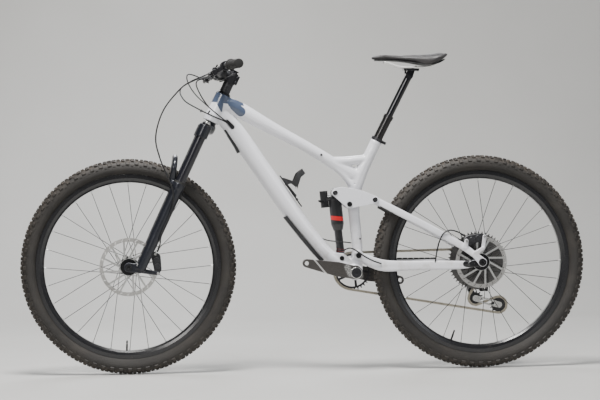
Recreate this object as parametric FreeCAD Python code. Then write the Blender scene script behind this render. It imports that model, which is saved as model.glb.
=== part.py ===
import FreeCAD, Part
import math
import os

# Full-suspension mountain bike. Millimetres; X points forwards, Y to the rider's left and Z up.
# The origin is on the ground, midway between the two tyre contacts, in the middle plane.

# ---------------------------------------------------------------- driving dimensions
WHEELBASE = 1220.0
TYRE_RADIUS = 372.0
TYRE_HALF_WIDTH = 30.5
RIM_INNER_RADIUS = 290.0
RIM_OUTER_RADIUS = 318.0
RIM_HALF_WIDTH = 17.5
SPOKE_COUNT = 28
FRONT_HUB_WIDTH = 110.0
REAR_HUB_WIDTH = 148.0
FRONT_ROTOR_RADIUS = 100.0
REAR_ROTOR_RADIUS = 90.0
ROTOR_THICKNESS = 1.8

STEERING_ANGLE = 64.8
CROWN_RACE = (321.8, 864.7)
CROWN_OFFSET = 12.5
STANCHION_RADIUS = 17.5
STANCHION_SPACING = 65.0
STANCHION_END = 288.0
FORK_TRAVEL = 150.0
HEAD_TUBE_LENGTH = 108.0

BOTTOM_BRACKET = (-171.0, 342.0)
MAIN_PIVOT = (-184.0, 400.0)
ROCKER_PIVOT = (-154.5, 578.0)
SEATSTAY_PIVOT = (-243.5, 592.4)
SHOCK_UPPER_EYE = (-105.0, 618.0)
SHOCK_LOWER_EYE = (-127.0, 391.0)

SEAT_COLLAR = (-255.0, 796.0)
SEAT_ANGLE = 62.8
POST_INSERTION = 168.0
POST_OUTER_RADIUS = 15.8
POST_INNER_RADIUS = 12.7
FRAME_WALL = 3.0

CRANK_LENGTH = 175.0
CRANK_RISE = 11.7
CHAIN_PITCH = 12.7
CHAINRING_TEETH = 32
CHAINRING_Y = -52.0
COG_TEETH = (10, 12, 14, 16, 18, 21, 24, 28, 32, 36, 42, 50)
SMALL_COG_Y = -67.0
COG_SPACING = 3.6
ENGAGED_COG = 5
UPPER_PULLEY = (-606.0, 240.0)
UPPER_PULLEY_TEETH = 12
LOWER_PULLEY_TEETH = 14
CAGE_REACH = 86.0
CAGE_ANGLE = 196.0

BAR_CENTRE = (286.0, 1034.0)
BAR_HALF_WIDTH = 390.0
BAR_CLAMP_RADIUS = 17.4
GRIP_BAR_RADIUS = 11.1
LEVER_Y = 165.0
LEVER_TILT = -31.0

# ---------------------------------------------------------------- derived places
REAR_AXLE = (-WHEELBASE / 2, TYRE_RADIUS)
FRONT_AXLE = (WHEELBASE / 2, TYRE_RADIUS)
COG_Y = SMALL_COG_Y + ENGAGED_COG * COG_SPACING
FRONT_ROTOR_Y = 44.5
REAR_ROTOR_Y = 57.5
Y_AXIS = FreeCAD.Vector(0, 1, 0)
ORIGIN = FreeCAD.Vector(0, 0, 0)


# ---------------------------------------------------------------- helpers
def point(x, y, z):
    return FreeCAD.Vector(x, y, z)


def rod(start, end, radius):
    """Round bar between two points."""
    axis = end - start
    return Part.makeCylinder(radius, axis.Length, start, axis)


def pipe(start, end, outer, inner):
    """Round tube between two points, open at both ends."""
    return rod(start, end, outer).cut(rod(start, end, inner))


def cross_rod(place, y_low, y_high, radius):
    """Round bar along Y at an (x, z) place."""
    return rod(point(place[0], y_low, place[1]), point(place[0], y_high, place[1]), radius)


def cross_pipe(place, y_low, y_high, outer, inner):
    """Round tube along Y at an (x, z) place."""
    return cross_rod(place, y_low, y_high, outer).cut(cross_rod(place, y_low, y_high, inner))


def mirrored(shape):
    """The same shape on the other side of the middle plane."""
    return shape.mirror(ORIGIN, Y_AXIS)


def both(shape):
    """A left piece and its mirrored right piece."""
    return [shape, mirrored(shape)]


def fused(shapes):
    """One solid from overlapping shapes."""
    whole = shapes[0]
    if len(shapes) > 1:
        whole = whole.fuse(shapes[1:])
    return whole.removeSplitter()


def polar(centre, radius, degrees):
    """The (x, z) place at a radius and an angle from +X towards +Z."""
    turn = math.radians(degrees)
    return centre[0] + radius * math.cos(turn), centre[1] + radius * math.sin(turn)


def heading(start, end):
    """Angle in degrees of the line between two (x, z) places."""
    return math.degrees(math.atan2(end[1] - start[1], end[0] - start[0]))


def outline_plate(places, y_low, y_high):
    """Flat plate with straight edges through (x, z) places."""
    corners = [point(x, y_low, z) for x, z in places]
    face = Part.Face(Part.makePolygon(corners + corners[:1]))
    return face.extrude(point(0, y_high - y_low, 0))


def strap(place_a, radius_a, place_b, radius_b, y_low, y_high):
    """Flat plate wrapped tightly round two circles."""
    distance = math.dist(place_a, place_b)
    along = heading(place_a, place_b)
    spread = math.degrees(math.acos((radius_a - radius_b) / distance))

    def spot(centre, radius, degrees):
        x, z = polar(centre, radius, degrees)
        return point(x, y_low, z)

    a_up, a_down = spot(place_a, radius_a, along + spread), spot(place_a, radius_a, along - spread)
    b_up, b_down = spot(place_b, radius_b, along + spread), spot(place_b, radius_b, along - spread)
    edges = [
        Part.makeLine(a_up, b_up),
        Part.Arc(b_up, spot(place_b, radius_b, along), b_down).toShape(),
        Part.makeLine(b_down, a_down),
        Part.Arc(a_down, spot(place_a, radius_a, along + 180), a_up).toShape(),
    ]
    return Part.Face(Part.Wire(edges)).extrude(point(0, y_high - y_low, 0))


def chained_straps(circles, y_low, y_high):
    """One plate that wraps each circle (place, radius) and the next one."""
    pairs = zip(circles, circles[1:])
    return fused([strap(a[0], a[1], b[0], b[1], y_low, y_high) for a, b in pairs])


def oval_wire(centre, side, up, half_side, half_up, squareness=2.0):
    """Closed smooth curve; a squareness of 2 is an ellipse and more is boxier."""
    count = 16
    spots = []
    for step in range(count):
        turn = 2 * math.pi * step / count
        across = math.copysign(abs(math.cos(turn)) ** (2 / squareness), math.cos(turn))
        rise = math.copysign(abs(math.sin(turn)) ** (2 / squareness), math.sin(turn))
        spots.append(centre + side * (half_side * across) + up * (half_up * rise))
    curve = Part.BSplineCurve()
    curve.interpolate(Points=spots, PeriodicFlag=True)
    return Part.Wire(curve.toShape())


def tube(stations, shrink=0.0, squareness=2.0):
    """Smooth bar through stations (x, y, z, half width along Y, half depth in the XZ plane)."""
    wires = []
    for index, (x, y, z, half_width, half_depth) in enumerate(stations):
        before = stations[max(index - 1, 0)]
        after = stations[min(index + 1, len(stations) - 1)]
        turn = math.atan2(after[2] - before[2], after[0] - before[0])
        up = point(-math.sin(turn), 0, math.cos(turn))
        wires.append(
            oval_wire(point(x, y, z), Y_AXIS, up, half_width - shrink, half_depth - shrink, squareness)
        )
    return Part.makeLoft(wires, True, False)


def bar_through(spots, halves, level, squareness=2.4):
    """Smooth bar through points; halves are its half size along level and across it."""
    wires = []
    for index, spot in enumerate(spots):
        before = spots[max(index - 1, 0)]
        after = spots[min(index + 1, len(spots) - 1)]
        run = (after - before).normalize()
        across = run.cross(level).normalize()
        flat = across.cross(run).normalize()
        wires.append(oval_wire(spot, flat, across, halves[index][0], halves[index][1], squareness))
    return Part.makeLoft(wires, True, False)


def turned(profile, centre):
    """Ring turned about the Y line through centre, from a profile of (radius, y) corners."""
    corners = [point(centre[0] + radius, y, centre[1]) for radius, y in profile]
    face = Part.Face(Part.makePolygon(corners + corners[:1]))
    return face.revolve(point(centre[0], 0, centre[1]), Y_AXIS, 360)


def turned_oval(centre, radius, half_radial, half_width, squareness):
    """Ring with a smooth oval section, turned about the Y line through centre."""
    middle = point(centre[0] + radius, 0, centre[1])
    wire = oval_wire(middle, Y_AXIS, point(1, 0, 0), half_width, half_radial, squareness)
    return Part.Face(wire).revolve(point(centre[0], 0, centre[1]), Y_AXIS, 360)


def hose(spots, radius):
    """Round flexible line through points."""
    curve = Part.BSplineCurve()
    curve.interpolate([point(*spot) for spot in spots])
    start = curve.value(curve.FirstParameter)
    tangent = curve.tangent(curve.FirstParameter)[0]
    ring = Part.Wire(Part.makeCircle(radius, start, tangent))
    return Part.Wire(curve.toShape()).makePipeShell([ring], True, False)


def round_loft(stations, normal=Y_AXIS):
    """Round bar with straight tapers through (point, radius) stations, cut square to normal."""
    wires = [Part.Wire(Part.makeCircle(radius, centre, normal)) for centre, radius in stations]
    return Part.makeLoft(wires, True, True)


def hex_bolt(place, y_face, outwards, head_radius, head_height):
    """Bolt head with a hexagon socket; its flat side lies on y_face."""
    y_top = y_face + outwards * head_height
    low, high = min(y_face, y_top), max(y_face, y_top)
    head = cross_rod(place, low, high, head_radius)
    socket = [polar(place, head_radius * 0.5, 60 * step) for step in range(6)]
    depth = sorted((y_top - outwards * head_height * 0.6, y_top + outwards))
    return head.cut(outline_plate(socket, depth[0], depth[1]))


def fork_place(down, forward):
    """The (x, z) place a distance down the steering axis from the crown race and forward of it."""
    turn = math.radians(STEERING_ANGLE)
    x = CROWN_RACE[0] + down * math.cos(turn) + forward * math.sin(turn)
    z = CROWN_RACE[1] - down * math.sin(turn) + forward * math.cos(turn)
    return x, z


def fork_point(down, forward, y):
    x, z = fork_place(down, forward)
    return point(x, y, z)


def post_point(along, y=0.0, forward=0.0):
    """Point a distance up the seat post axis from the frame's seat collar."""
    turn = math.radians(SEAT_ANGLE)
    x = SEAT_COLLAR[0] - along * math.cos(turn) + forward * math.sin(turn)
    z = SEAT_COLLAR[1] + along * math.sin(turn) + forward * math.cos(turn)
    return point(x, y, z)


# ---------------------------------------------------------------- main frame
TOP_TUBE = (
    (270, 0, 931, 19, 24),
    (205, 0, 900, 22, 27),
    (105, 0, 842, 20, 22.5),
    (-5, 0, 781.5, 19, 19.5),
    (-101, 0, 722, 19, 20.5),
    (-182, 0, 676, 18, 27),
)
SEAT_MAST = (
    (-252.9, 0, 792, 19.4, 19.4),
    (-233, 0, 753.2, 19.8, 19.8),
    (-214, 0, 716, 20, 21),
    (-187, 0, 660, 19.5, 25),
    (-172, 0, 600, 17.5, 23),
    (-173, 0, 555, 17, 20.5),
    (-177.5, 0, 500, 16.5, 19.5),
    (-183, 0, 440, 17, 18.5),
    (-183, 0, 400, 20, 18),
)
DOWN_TUBE = (
    (290, 0, 896, 20, 25),
    (243, 0, 843, 25, 32),
    (180, 0, 753, 29, 32),
    (126.4, 0, 674.9, 31, 32),
    (58, 0, 575, 33, 31.5),
    (8, 0, 508, 34, 27),
    (-40, 0, 447, 34, 26),
    (-86, 0, 396, 33, 29),
    (-140, 0, 362, 31, 33),
)
MAST_CURVES = (
    ((-66, 0, 743, 15, 9), (-118, 0, 727, 17, 16), (-165, 0, 729, 18, 16), (-214, 0, 733, 18, 16)),
    ((-80, 0, 722, 15, 10), (-128, 0, 690, 17, 12), (-168, 0, 640, 17, 12)),
)


def head_tube_solids():
    """Outer solid of the head tube and the stepped bore through it."""
    low, high = -4.0, -HEAD_TUBE_LENGTH
    outer = Part.makeCone(
        30.5, 26.5, low - high, fork_point(low, 0, 0), fork_point(high, 0, 0) - fork_point(low, 0, 0)
    )
    bore = rod(fork_point(low + 1, 0, 0), fork_point(high - 1, 0, 0), 22.0)
    lower_seat = rod(fork_point(low + 1, 0, 0), fork_point(-17, 0, 0), 26.1)
    return outer, [bore, lower_seat]


SEAT_HOSE = ((-62, 6, 459), (-84, 4, 452), (-112, 22, 449), (-140, 12, 446), (-161.5, 4, 443))


def frame_openings():
    """Solids cut from the frame: bores, the shock's slot and the hollow of each tube."""
    hollows = [
        tube(TOP_TUBE, FRAME_WALL),
        tube(SEAT_MAST[2:-1], FRAME_WALL),
        tube(DOWN_TUBE[:-1], FRAME_WALL),
    ]
    seat_bore = rod(post_point(-POST_INSERTION - 2), post_point(5), POST_OUTER_RADIUS)
    bracket_bore = cross_rod(BOTTOM_BRACKET, -60, 60, 21.0)
    pivot_bores = [cross_rod(MAIN_PIVOT, -60, 60, 7.5), cross_rod(ROCKER_PIVOT, -60, 60, 7.5)]
    shock_bolt_bore = cross_rod(SHOCK_LOWER_EYE, -60, 60, 5.0)
    head_recesses = both(cross_rod(SHOCK_LOWER_EYE, 27.1, 60, 8.5))
    slot_front, slot_rear, slot_floor, slot_top = -92, -151, 374, 470
    slot = Part.makeBox(
        slot_front - slot_rear, 32, slot_top - slot_floor, point(slot_rear, -16, slot_floor)
    )
    bores = [seat_bore, bracket_bore, shock_bolt_bore, slot, hose(SEAT_HOSE, 2.7)]
    return hollows + bores + head_recesses + pivot_bores


def frame_lugs():
    """Solid lugs round the bottom bracket, the pivots and the lower shock bolt."""
    shell = cross_rod(BOTTOM_BRACKET, -46, 46, 27)
    web = chained_straps(((BOTTOM_BRACKET, 27), (MAIN_PIVOT, 16)), -29.3, 29.3)
    shock_ears = chained_straps(((BOTTOM_BRACKET, 25), (SHOCK_LOWER_EYE, 17), ((-86, 392), 20)), -27, 27)
    rocker_boss = cross_rod(ROCKER_PIVOT, -31.2, 31.2, 13)
    collar = rod(post_point(-12), post_point(0), 20.5)
    return [shell, web, shock_ears, rocker_boss, collar]


def cable_port_pocket():
    """Rounded pocket in the left side of the head tube junction where the hoses go in."""
    start, end = (266, 870), (247, 848)
    return strap(start, 5, end, 7, 18, 40)


def main_frame():
    head_outer, head_bores = head_tube_solids()
    tubes = [tube(TOP_TUBE), tube(SEAT_MAST), tube(DOWN_TUBE)]
    fillets = [tube(stations) for stations in MAST_CURVES]
    body = fused([head_outer] + tubes + fillets + frame_lugs())
    for opening in frame_openings() + head_bores + [cable_port_pocket()]:
        body = body.cut(opening)
    return [max(body.Solids, key=lambda solid: solid.Volume)]


def offset_places(places, distance):
    """Places moved to the left of the direction of travel."""
    moved = []
    for index, place in enumerate(places):
        before, after = places[max(index - 1, 0)], places[min(index + 1, len(places) - 1)]
        turn = math.atan2(after[1] - before[1], after[0] - before[0])
        moved.append((place[0] - distance * math.sin(turn), place[1] + distance * math.cos(turn)))
    return moved


def guard(places, thickness, half_width):
    """Moulded pad along the lower edge of the down tube."""
    outer = offset_places(places, thickness)
    return outline_plate(list(places) + outer[::-1], -half_width, half_width)


def frame_guards():
    """Rubber guards: one where the fork crown swings past and one under the down tube."""
    tube_solid = tube(DOWN_TUBE)
    bumper = guard(((268, 843), (231, 781), (222, 762)), 10, 17)
    lower = guard(((63, 541), (8, 470), (-39, 413), (-64, 386)), 12, 25)
    return [bumper.cut(tube_solid), lower.cut(tube_solid).cut(cross_rod(BOTTOM_BRACKET, -60, 60, 30))]


def frame_fittings():
    """Seat clamp, hose port cover and the small blanking bolts."""
    clamp = pipe(post_point(0.6), post_point(11), 21, POST_OUTER_RADIUS + 0.1)
    ears = Part.makeBox(14, 17, 9)
    ears.translate(point(-14, -8.5, 0))
    ears.rotate(ORIGIN, Y_AXIS, SEAT_ANGLE - 90)
    ears.translate(post_point(1.2, 0, -19))
    slit_box = Part.makeBox(26, 1.6, 14)
    slit_box.translate(point(-26, -0.8, -1))
    slit_box.rotate(ORIGIN, Y_AXIS, SEAT_ANGLE - 90)
    slit_box.translate(post_point(0.2, 0, -12))
    clamp_bore = rod(post_point(-2), post_point(16), POST_OUTER_RADIUS + 0.1)
    clamp = fused([clamp, ears]).cut(slit_box).cut(clamp_bore)
    bolt = rod(post_point(5.8, -12, -27), post_point(5.8, -8.6, -27), 3.5)
    port = strap((265, 869), 4.6, (247.5, 849), 6.6, 23.5, 25.5)
    for path in BAR_HOSES[1:]:
        port = port.cut(hose(path[0], path[1] + 0.4))
    top_bolts = both(hex_bolt((-60, 750), 19.2, 1, 4, 2))
    stay_bolt = hex_bolt((-192, 457), 17.2, 1, 3.2, 2).cut(tube(SEAT_MAST))
    return [clamp, bolt, port] + top_bolts + [stay_bolt]


def frame_bearings():
    """Headset bearings and the bottom bracket's bearing cups."""
    lower = pipe(fork_point(-5, 0, 0), fork_point(-13, 0, 0), 26, 20.3)
    upper = pipe(fork_point(-98, 0, 0), fork_point(-106, 0, 0), 21.9, 14.5)
    flange = cross_pipe(BOTTOM_BRACKET, 46.2, 49.4, 24, 15.1)
    sleeve = cross_pipe(BOTTOM_BRACKET, 30, 46.4, 20.9, 15.1)
    return [lower, upper] + both(fused([flange, sleeve]))


def pivot_bolts():
    """Axles that the frame holds: the main pivot, the rocker pivot and the lower shock bolt."""
    main_axle = cross_rod(MAIN_PIVOT, -40.4, 40.4, 7.45)
    rocker_axle = cross_rod(ROCKER_PIVOT, -40.4, 40.4, 7.45)
    shock_bolt = cross_rod(SHOCK_LOWER_EYE, -27.4, 27.4, 4.95)
    groups = []
    for axle, place, y_face, radius in (
        (main_axle, MAIN_PIVOT, 40.3, 9.5),
        (rocker_axle, ROCKER_PIVOT, 40.3, 9.0),
        (shock_bolt, SHOCK_LOWER_EYE, 27.2, 8.0),
    ):
        left = hex_bolt(place, y_face, 1, radius, 3)
        groups.append(fused([axle] + both(left)))
    return groups


def bottle_cage():
    """Light cage on the upper face of the down tube, shaped to hold a round bottle."""
    down_angle = heading((-54, 472), (203, 846))
    rail_start = (100, 693)

    def spot(along, out):
        """Place measured along the down tube's upper edge, and out from it."""
        x, z = polar(rail_start, along, down_angle)
        return polar((x, z), out, down_angle + 90)

    bottle_radius, wall = 37.0, 2.5
    axis_low, axis_high = spot(-165, 44), spot(-10, 44)
    shell = pipe(
        point(axis_low[0], 0, axis_low[1]),
        point(axis_high[0], 0, axis_high[1]),
        bottle_radius + wall,
        bottle_radius,
    )
    wing = outline_plate(
        [spot(-150, 0), spot(-118, 4), spot(-84, 36), spot(-66, 60), spot(-64, 90), spot(-44, 90),
         spot(-46, 58), spot(-62, 32), spot(-34, 12), spot(-22, 0)],
        -60, 60,
    )
    window = outline_plate([spot(-120, 14), spot(-86, 30), spot(-66, 24), spot(-60, 10)], -60, 60)
    wings = shell.common(wing).cut(window)
    base = outline_plate([spot(-152, 4), spot(-152, 8), spot(-20, 8), spot(-20, 4)], -9, 9)
    bolts = []
    for along in (-122, -58):
        x, z = spot(along, 2.5)
        x_top, z_top = spot(along, 11)
        bolts.append(rod(point(x, 0, z), point(x_top, 0, z_top), 4))
    body = fused([wings, base] + bolts)
    body = body.cut(tube(DOWN_TUBE))
    return [max(body.Solids, key=lambda solid: solid.Volume)]


def frame_hoses():
    """Dropper hose from the down tube to the seat tube, and the brake hose to the left chainstay."""
    brake_path = ((-132, 30.5, 418), (-160, 44, 425), (-205, 50.6, 396), (-236, 50.8, 380), (-262, 50.5, 371))
    return [hose(SEAT_HOSE, 2.2), hose(brake_path, 2.5)]


# ---------------------------------------------------------------- seat post and saddle
POST_TOP = 262.0
SADDLE_STATIONS = (
    (-236, 9, 1089.5, 1075),
    (-250, 17, 1094, 1073),
    (-300, 21, 1093, 1072),
    (-350, 26, 1091, 1068),
    (-395, 41, 1091, 1061),
    (-430, 58, 1092, 1056),
    (-465, 69, 1096, 1060),
    (-492, 62, 1101, 1074),
    (-504, 38, 1100, 1084),
)
RAIL_Y = 22.0
RAIL_PATH = (
    (-284, 12, 1070), (-304, 16, 1065), (-330, 20.5, 1055), (-348, RAIL_Y, 1051.8), (-378, RAIL_Y, 1051.2),
    (-408, RAIL_Y, 1050.6), (-436, 24, 1053), (-462, 27, 1061),
)


def dropper_outer():
    """Lower tube of the height-adjustable post, with its sealing collar."""
    body = pipe(post_point(-POST_INSERTION), post_point(86), POST_OUTER_RADIUS - 0.05, 13.4)
    collar = pipe(post_point(85), post_point(99), 17.4, POST_INNER_RADIUS + 0.08)
    step = pipe(post_point(84), post_point(88), 15.75, POST_INNER_RADIUS + 0.08)
    return [fused([body, collar, step])]


def dropper_inner():
    """Sliding upper tube, the saddle clamp on its head and the two clamp bolts."""
    shaft = rod(post_point(-36), post_point(POST_TOP), POST_INNER_RADIUS)
    head_x, head_z = -378.0, 1040.0
    head = chained_straps((((-371, 1022), 13), ((head_x, head_z), 12)), -15, 15)
    clamp_half_width = RAIL_Y + 0.6
    cradle_outline = ((-352, 1040), (-404, 1038), (-405, 1046), (-350, 1048))
    cradle = outline_plate(cradle_outline, -clamp_half_width, clamp_half_width)
    upper_grooves = [rod(point(-300, y, 1052.6), point(-420, y, 1050.4), 4.1) for y in (-RAIL_Y, RAIL_Y)]
    cap_outline = ((-360, 1048.6), (-397, 1047), (-395, 1054), (-362, 1055.5))
    cap = outline_plate(cap_outline, -clamp_half_width, clamp_half_width)
    lower = fused([shaft, head, cradle])
    for groove in upper_grooves:
        lower = lower.cut(groove)
        cap = cap.cut(groove)
    bolts = [rod(point(x, 0, 1030), point(x, 0, 1057.5), 3.0) for x in (-359, -397)]
    bolts = [bolt.cut(lower).cut(cap) for bolt in bolts]
    bolts = [max(bolt.Solids, key=lambda solid: solid.Volume) for bolt in bolts if bolt.Solids]
    return [lower, cap] + bolts


def saddle_section(x, half_width, top, bottom, squareness=2.6):
    centre = point(x, 0, (top + bottom) / 2)
    return oval_wire(centre, Y_AXIS, point(0, 0, 1), half_width, (top - bottom) / 2, squareness)


def saddle_cover():
    """Padded top of the saddle."""
    pad_wires = [saddle_section(x, w, top, bottom + 6) for x, w, top, bottom in SADDLE_STATIONS]
    return [Part.makeLoft(pad_wires, True, False)]


def saddle_base():
    """Thin moulded shell under the padding."""
    wires = [
        saddle_section(x, w * 0.86, bottom + 5.6, bottom + 1.2) for x, w, top, bottom in SADDLE_STATIONS[1:-1]
    ]
    shell = Part.makeLoft(wires, True, False).cut(saddle_cover()[0])
    for rail in both(hose(RAIL_PATH, 3.7)):
        shell = shell.cut(rail)
    return [max(shell.Solids, key=lambda solid: solid.Volume)]


def saddle_rails():
    """Two round metal rails that hold the saddle to the post."""
    return both(hose(RAIL_PATH, 3.5))


# ---------------------------------------------------------------- fork and cockpit
def leg_axis(down, side):
    return fork_point(down, CROWN_OFFSET, side * STANCHION_SPACING)


def fork_crown():
    """Tapered steerer and forged crown with a clamp ring round each stanchion."""
    taper = Part.makeCone(
        20.0, 14.25, 40, fork_point(0, 0, 0), fork_point(-40, 0, 0) - fork_point(0, 0, 0)
    )
    steerer = rod(fork_point(-38, 0, 0), fork_point(-196, 0, 0), 14.25)
    race = rod(fork_point(0, 0, 0), fork_point(-3.6, 0, 0), 24.5)
    bridge_wires = []
    for y, half_reach, low, high in (
        (-62, 21, 22, 52), (-40, 21, 10, 46), (0, 25, 0, 40), (40, 21, 10, 46), (62, 21, 22, 52),
    ):
        middle = fork_point((low + high) / 2, CROWN_OFFSET * abs(y) / 62, y)
        up = fork_point(-1, 0, 0) - fork_point(0, 0, 0)
        side = fork_point(0, 1, 0) - fork_point(0, 0, 0)
        bridge_wires.append(oval_wire(middle, side, up, half_reach, (high - low) / 2, 3.0))
    bridge = Part.makeLoft(bridge_wires, True, False)
    rings = [rod(leg_axis(17, side), leg_axis(61, side), 22.5) for side in (-1, 1)]
    body = fused([taper, steerer, race, bridge] + rings)
    for side in (-1, 1):
        body = body.cut(rod(leg_axis(13, side), leg_axis(65, side), STANCHION_RADIUS + 0.02))
    body = body.cut(rod(fork_point(50, 0, 0), fork_point(-200, 0, 0), 11.6))
    return [body]


def stanchions():
    """Two hollow sliding tubes with a cap screwed into each top."""
    parts = []
    for side in (-1, 1):
        parts.append(pipe(leg_axis(15, side), leg_axis(STANCHION_END, side), STANCHION_RADIUS, 15.2))
        cap = rod(leg_axis(10, side), leg_axis(15, side), 14).fuse(
            rod(leg_axis(14.9, side), leg_axis(26, side), 15.1)
        )
        parts.append(cap.removeSplitter())
    return parts


def fork_arch():
    """Arch of the lower legs, bent over the front of the tyre."""
    half = ((64, 246, 30, 12, 16), (60, 205, 48, 10, 13), (46, 172, 58, 9, 12), (24, 162, 62, 9, 11))
    stations = [(-y, *rest) for y, *rest in half] + [(0, 160, 63, 9, 11)] + list(half[::-1])
    forward = fork_point(0, 1, 0) - fork_point(0, 0, 0)
    spots = [fork_point(down, ahead, y) for y, down, ahead, _, _ in stations]
    return bar_through(spots, [(station[3], station[4]) for station in stations], forward)


def fork_lowers():
    """Cast pair of lower legs joined by an arch in front of the tyre."""
    parts = []
    for side in (-1, 1):
        leg_stations = [
            (fork_point(down, CROWN_OFFSET, side * y), radius)
            for down, y, radius in (
                (236, 65, 22.8), (254, 65, 22.8), (260, 65, 21.2), (430, 65, 20.6), (486, 68.5, 18.6),
                (560, 69.5, 17.8),
            )
        ]
        leg = round_loft(leg_stations, fork_point(1, 0, 0) - fork_point(0, 0, 0))
        foot_place = fork_place(556, CROWN_OFFSET)
        lug = strap(foot_place, 15, FRONT_AXLE, 16, 55.3, 79)
        if side < 0:
            lug = mirrored(lug)
        parts += [leg, lug]
    parts.append(fork_arch())
    for bolt, on_leg in zip(FRONT_CALIPER_BOLTS, ((547, 416), (562, 358))):
        parts.append(strap(bolt, 6.5, on_leg, 8, 60, 66))
    body = fused(parts)
    for bolt in FRONT_CALIPER_BOLTS:
        body = body.cut(cross_rod(bolt, 40, 100, 4.1))
    for side in (-1, 1):
        body = body.cut(rod(leg_axis(215, side), leg_axis(262, side), STANCHION_RADIUS + 0.1))
        y_shift = point(0, side * 1.2, 0)
        bore_end = STANCHION_END + FORK_TRAVEL + 2
        body = body.cut(rod(leg_axis(261.9, side), leg_axis(bore_end, side), STANCHION_RADIUS + 0.6))
        lower_end = leg_axis(520, side) + y_shift * 3
        body = body.cut(rod(leg_axis(bore_end - 0.1, side) + y_shift, lower_end, 14.6))
    body = body.cut(cross_rod(FRONT_AXLE, -90, 90, 7.5))
    body = body.cut(cross_rod(FRONT_AXLE, FRONT_ROTOR_Y - 3, FRONT_ROTOR_Y + 3, FRONT_ROTOR_RADIUS + 3))
    return [max(body.Solids, key=lambda solid: solid.Volume)]


def front_axle():
    """Through axle of the front wheel with its lever-free head."""
    shaft = cross_rod(FRONT_AXLE, -79, 79.2, 7.45)
    head = hex_bolt(FRONT_AXLE, 79.2, 1, 11, 4)
    return [fused([shaft, head])]


FRONT_CALIPER_BOLTS = ((519.0, 416.0), (510.0, 350.0))
REAR_CALIPER_BOLTS = ((-556.0, 446.0), (-619.0, 461.0))


def caliper(centre, lean, rotor_y, axle, rotor_radius):
    """Two-piston brake caliper that straddles a rotor, with its two pads."""
    half_length, half_depth = 36.0, 16.0
    reach = half_length - half_depth
    ends = [polar(centre, reach, lean), polar(centre, reach, lean + 180)]
    body = strap(ends[0], half_depth, ends[1], half_depth - 3, rotor_y - 15, rotor_y + 15)
    pistons = [cross_rod(polar(centre, reach, lean), rotor_y - 19, rotor_y + 19, 9) for reach in (-10, 11)]
    body = fused([body] + pistons)
    body = body.cut(cross_rod(axle, rotor_y - 4, rotor_y + 4, rotor_radius + 4))
    pads = []
    for side in (-1, 1):
        low, high = sorted((rotor_y + side * 1.5, rotor_y + side * 3.8))
        pad = cross_rod(centre, low, high, 13)
        pads.append(pad.common(cross_rod(axle, low, high, rotor_radius)))
    return [max(body.Solids, key=lambda solid: solid.Volume)] + pads


def front_caliper():
    """Front caliper on two posts behind the left leg."""
    parts = caliper((513.5, 384), 82, FRONT_ROTOR_Y, FRONT_AXLE, FRONT_ROTOR_RADIUS)
    bolts = [cross_rod(place, 50, 68, 4) for place in FRONT_CALIPER_BOLTS]
    parts[0] = fused([parts[0]] + bolts)
    return parts


def rear_caliper():
    """Rear caliper above the end of the left seatstay."""
    parts = caliper((-587, 453), -14, REAR_ROTOR_Y, REAR_AXLE, REAR_ROTOR_RADIUS)
    bolts = [cross_rod(place, 63, 83, 4) for place in REAR_CALIPER_BOLTS]
    parts[0] = fused([parts[0]] + bolts)
    return parts


def bar_stations(radius_change=0.0):
    """Centre line and radius of the handlebar, left end to right end."""
    half = (
        (0, 0, 0, BAR_CLAMP_RADIUS), (32, 0, 0, BAR_CLAMP_RADIUS), (62, -1, 4, 15.5), (100, -4, 14, 12.6),
        (140, -8, 20, GRIP_BAR_RADIUS), (265, -24.5, 18, GRIP_BAR_RADIUS),
        (BAR_HALF_WIDTH - 0.5, -43, 15, GRIP_BAR_RADIUS),
    )
    whole = [(-y, x, z, r) for y, x, z, r in half[:0:-1]] + [(y, x, z, r) for y, x, z, r in half]
    return [
        (point(BAR_CENTRE[0] + x, y, BAR_CENTRE[1] + z), radius + radius_change) for y, x, z, radius in whole
    ]


def bar_place(y):
    """The bar's centre point at a distance y from the middle plane."""
    stations = bar_stations()
    for (start, _), (end, _) in zip(stations, stations[1:]):
        if start.y <= y <= end.y:
            share = (y - start.y) / (end.y - start.y)
            return start + (end - start) * share
    return stations[-1][0]


def handlebar():
    """Hollow riser bar."""
    return [round_loft(bar_stations()).cut(round_loft(bar_stations(-2.0)))]


def grips():
    """Rubber sleeves with a flange at the inner end and a closed outer end."""
    parts = []
    for side in (-1, 1):
        inner_end, outer_end = bar_place(side * 262), bar_place(side * 389)
        along = (outer_end - inner_end).normalize()
        sleeve = rod(inner_end, outer_end + along * 5, 16)
        flange = rod(inner_end, inner_end + along * 5, 19.5)
        bore = rod(inner_end - along * 3, outer_end + along * 2.6, GRIP_BAR_RADIUS + 0.3)
        parts.append(fused([sleeve, flange]).cut(bore))
    return parts


def headset_spacers():
    """Upper headset cover and the spacers between the head tube and the stem."""
    cover = Part.makeCone(
        26, 19, 8, fork_point(-109, 0, 0), fork_point(-117, 0, 0) - fork_point(-109, 0, 0)
    ).cut(rod(fork_point(-108, 0, 0), fork_point(-120, 0, 0), 14.4))
    parts = [cover]
    top = -117.2
    for height in (12, 12, 8):
        parts.append(pipe(fork_point(top, 0, 0), fork_point(top - height, 0, 0), 18, 14.4))
        top -= height + 0.2
    return parts


STEM_LOW, STEM_HIGH = -150.5, -191.0


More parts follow.
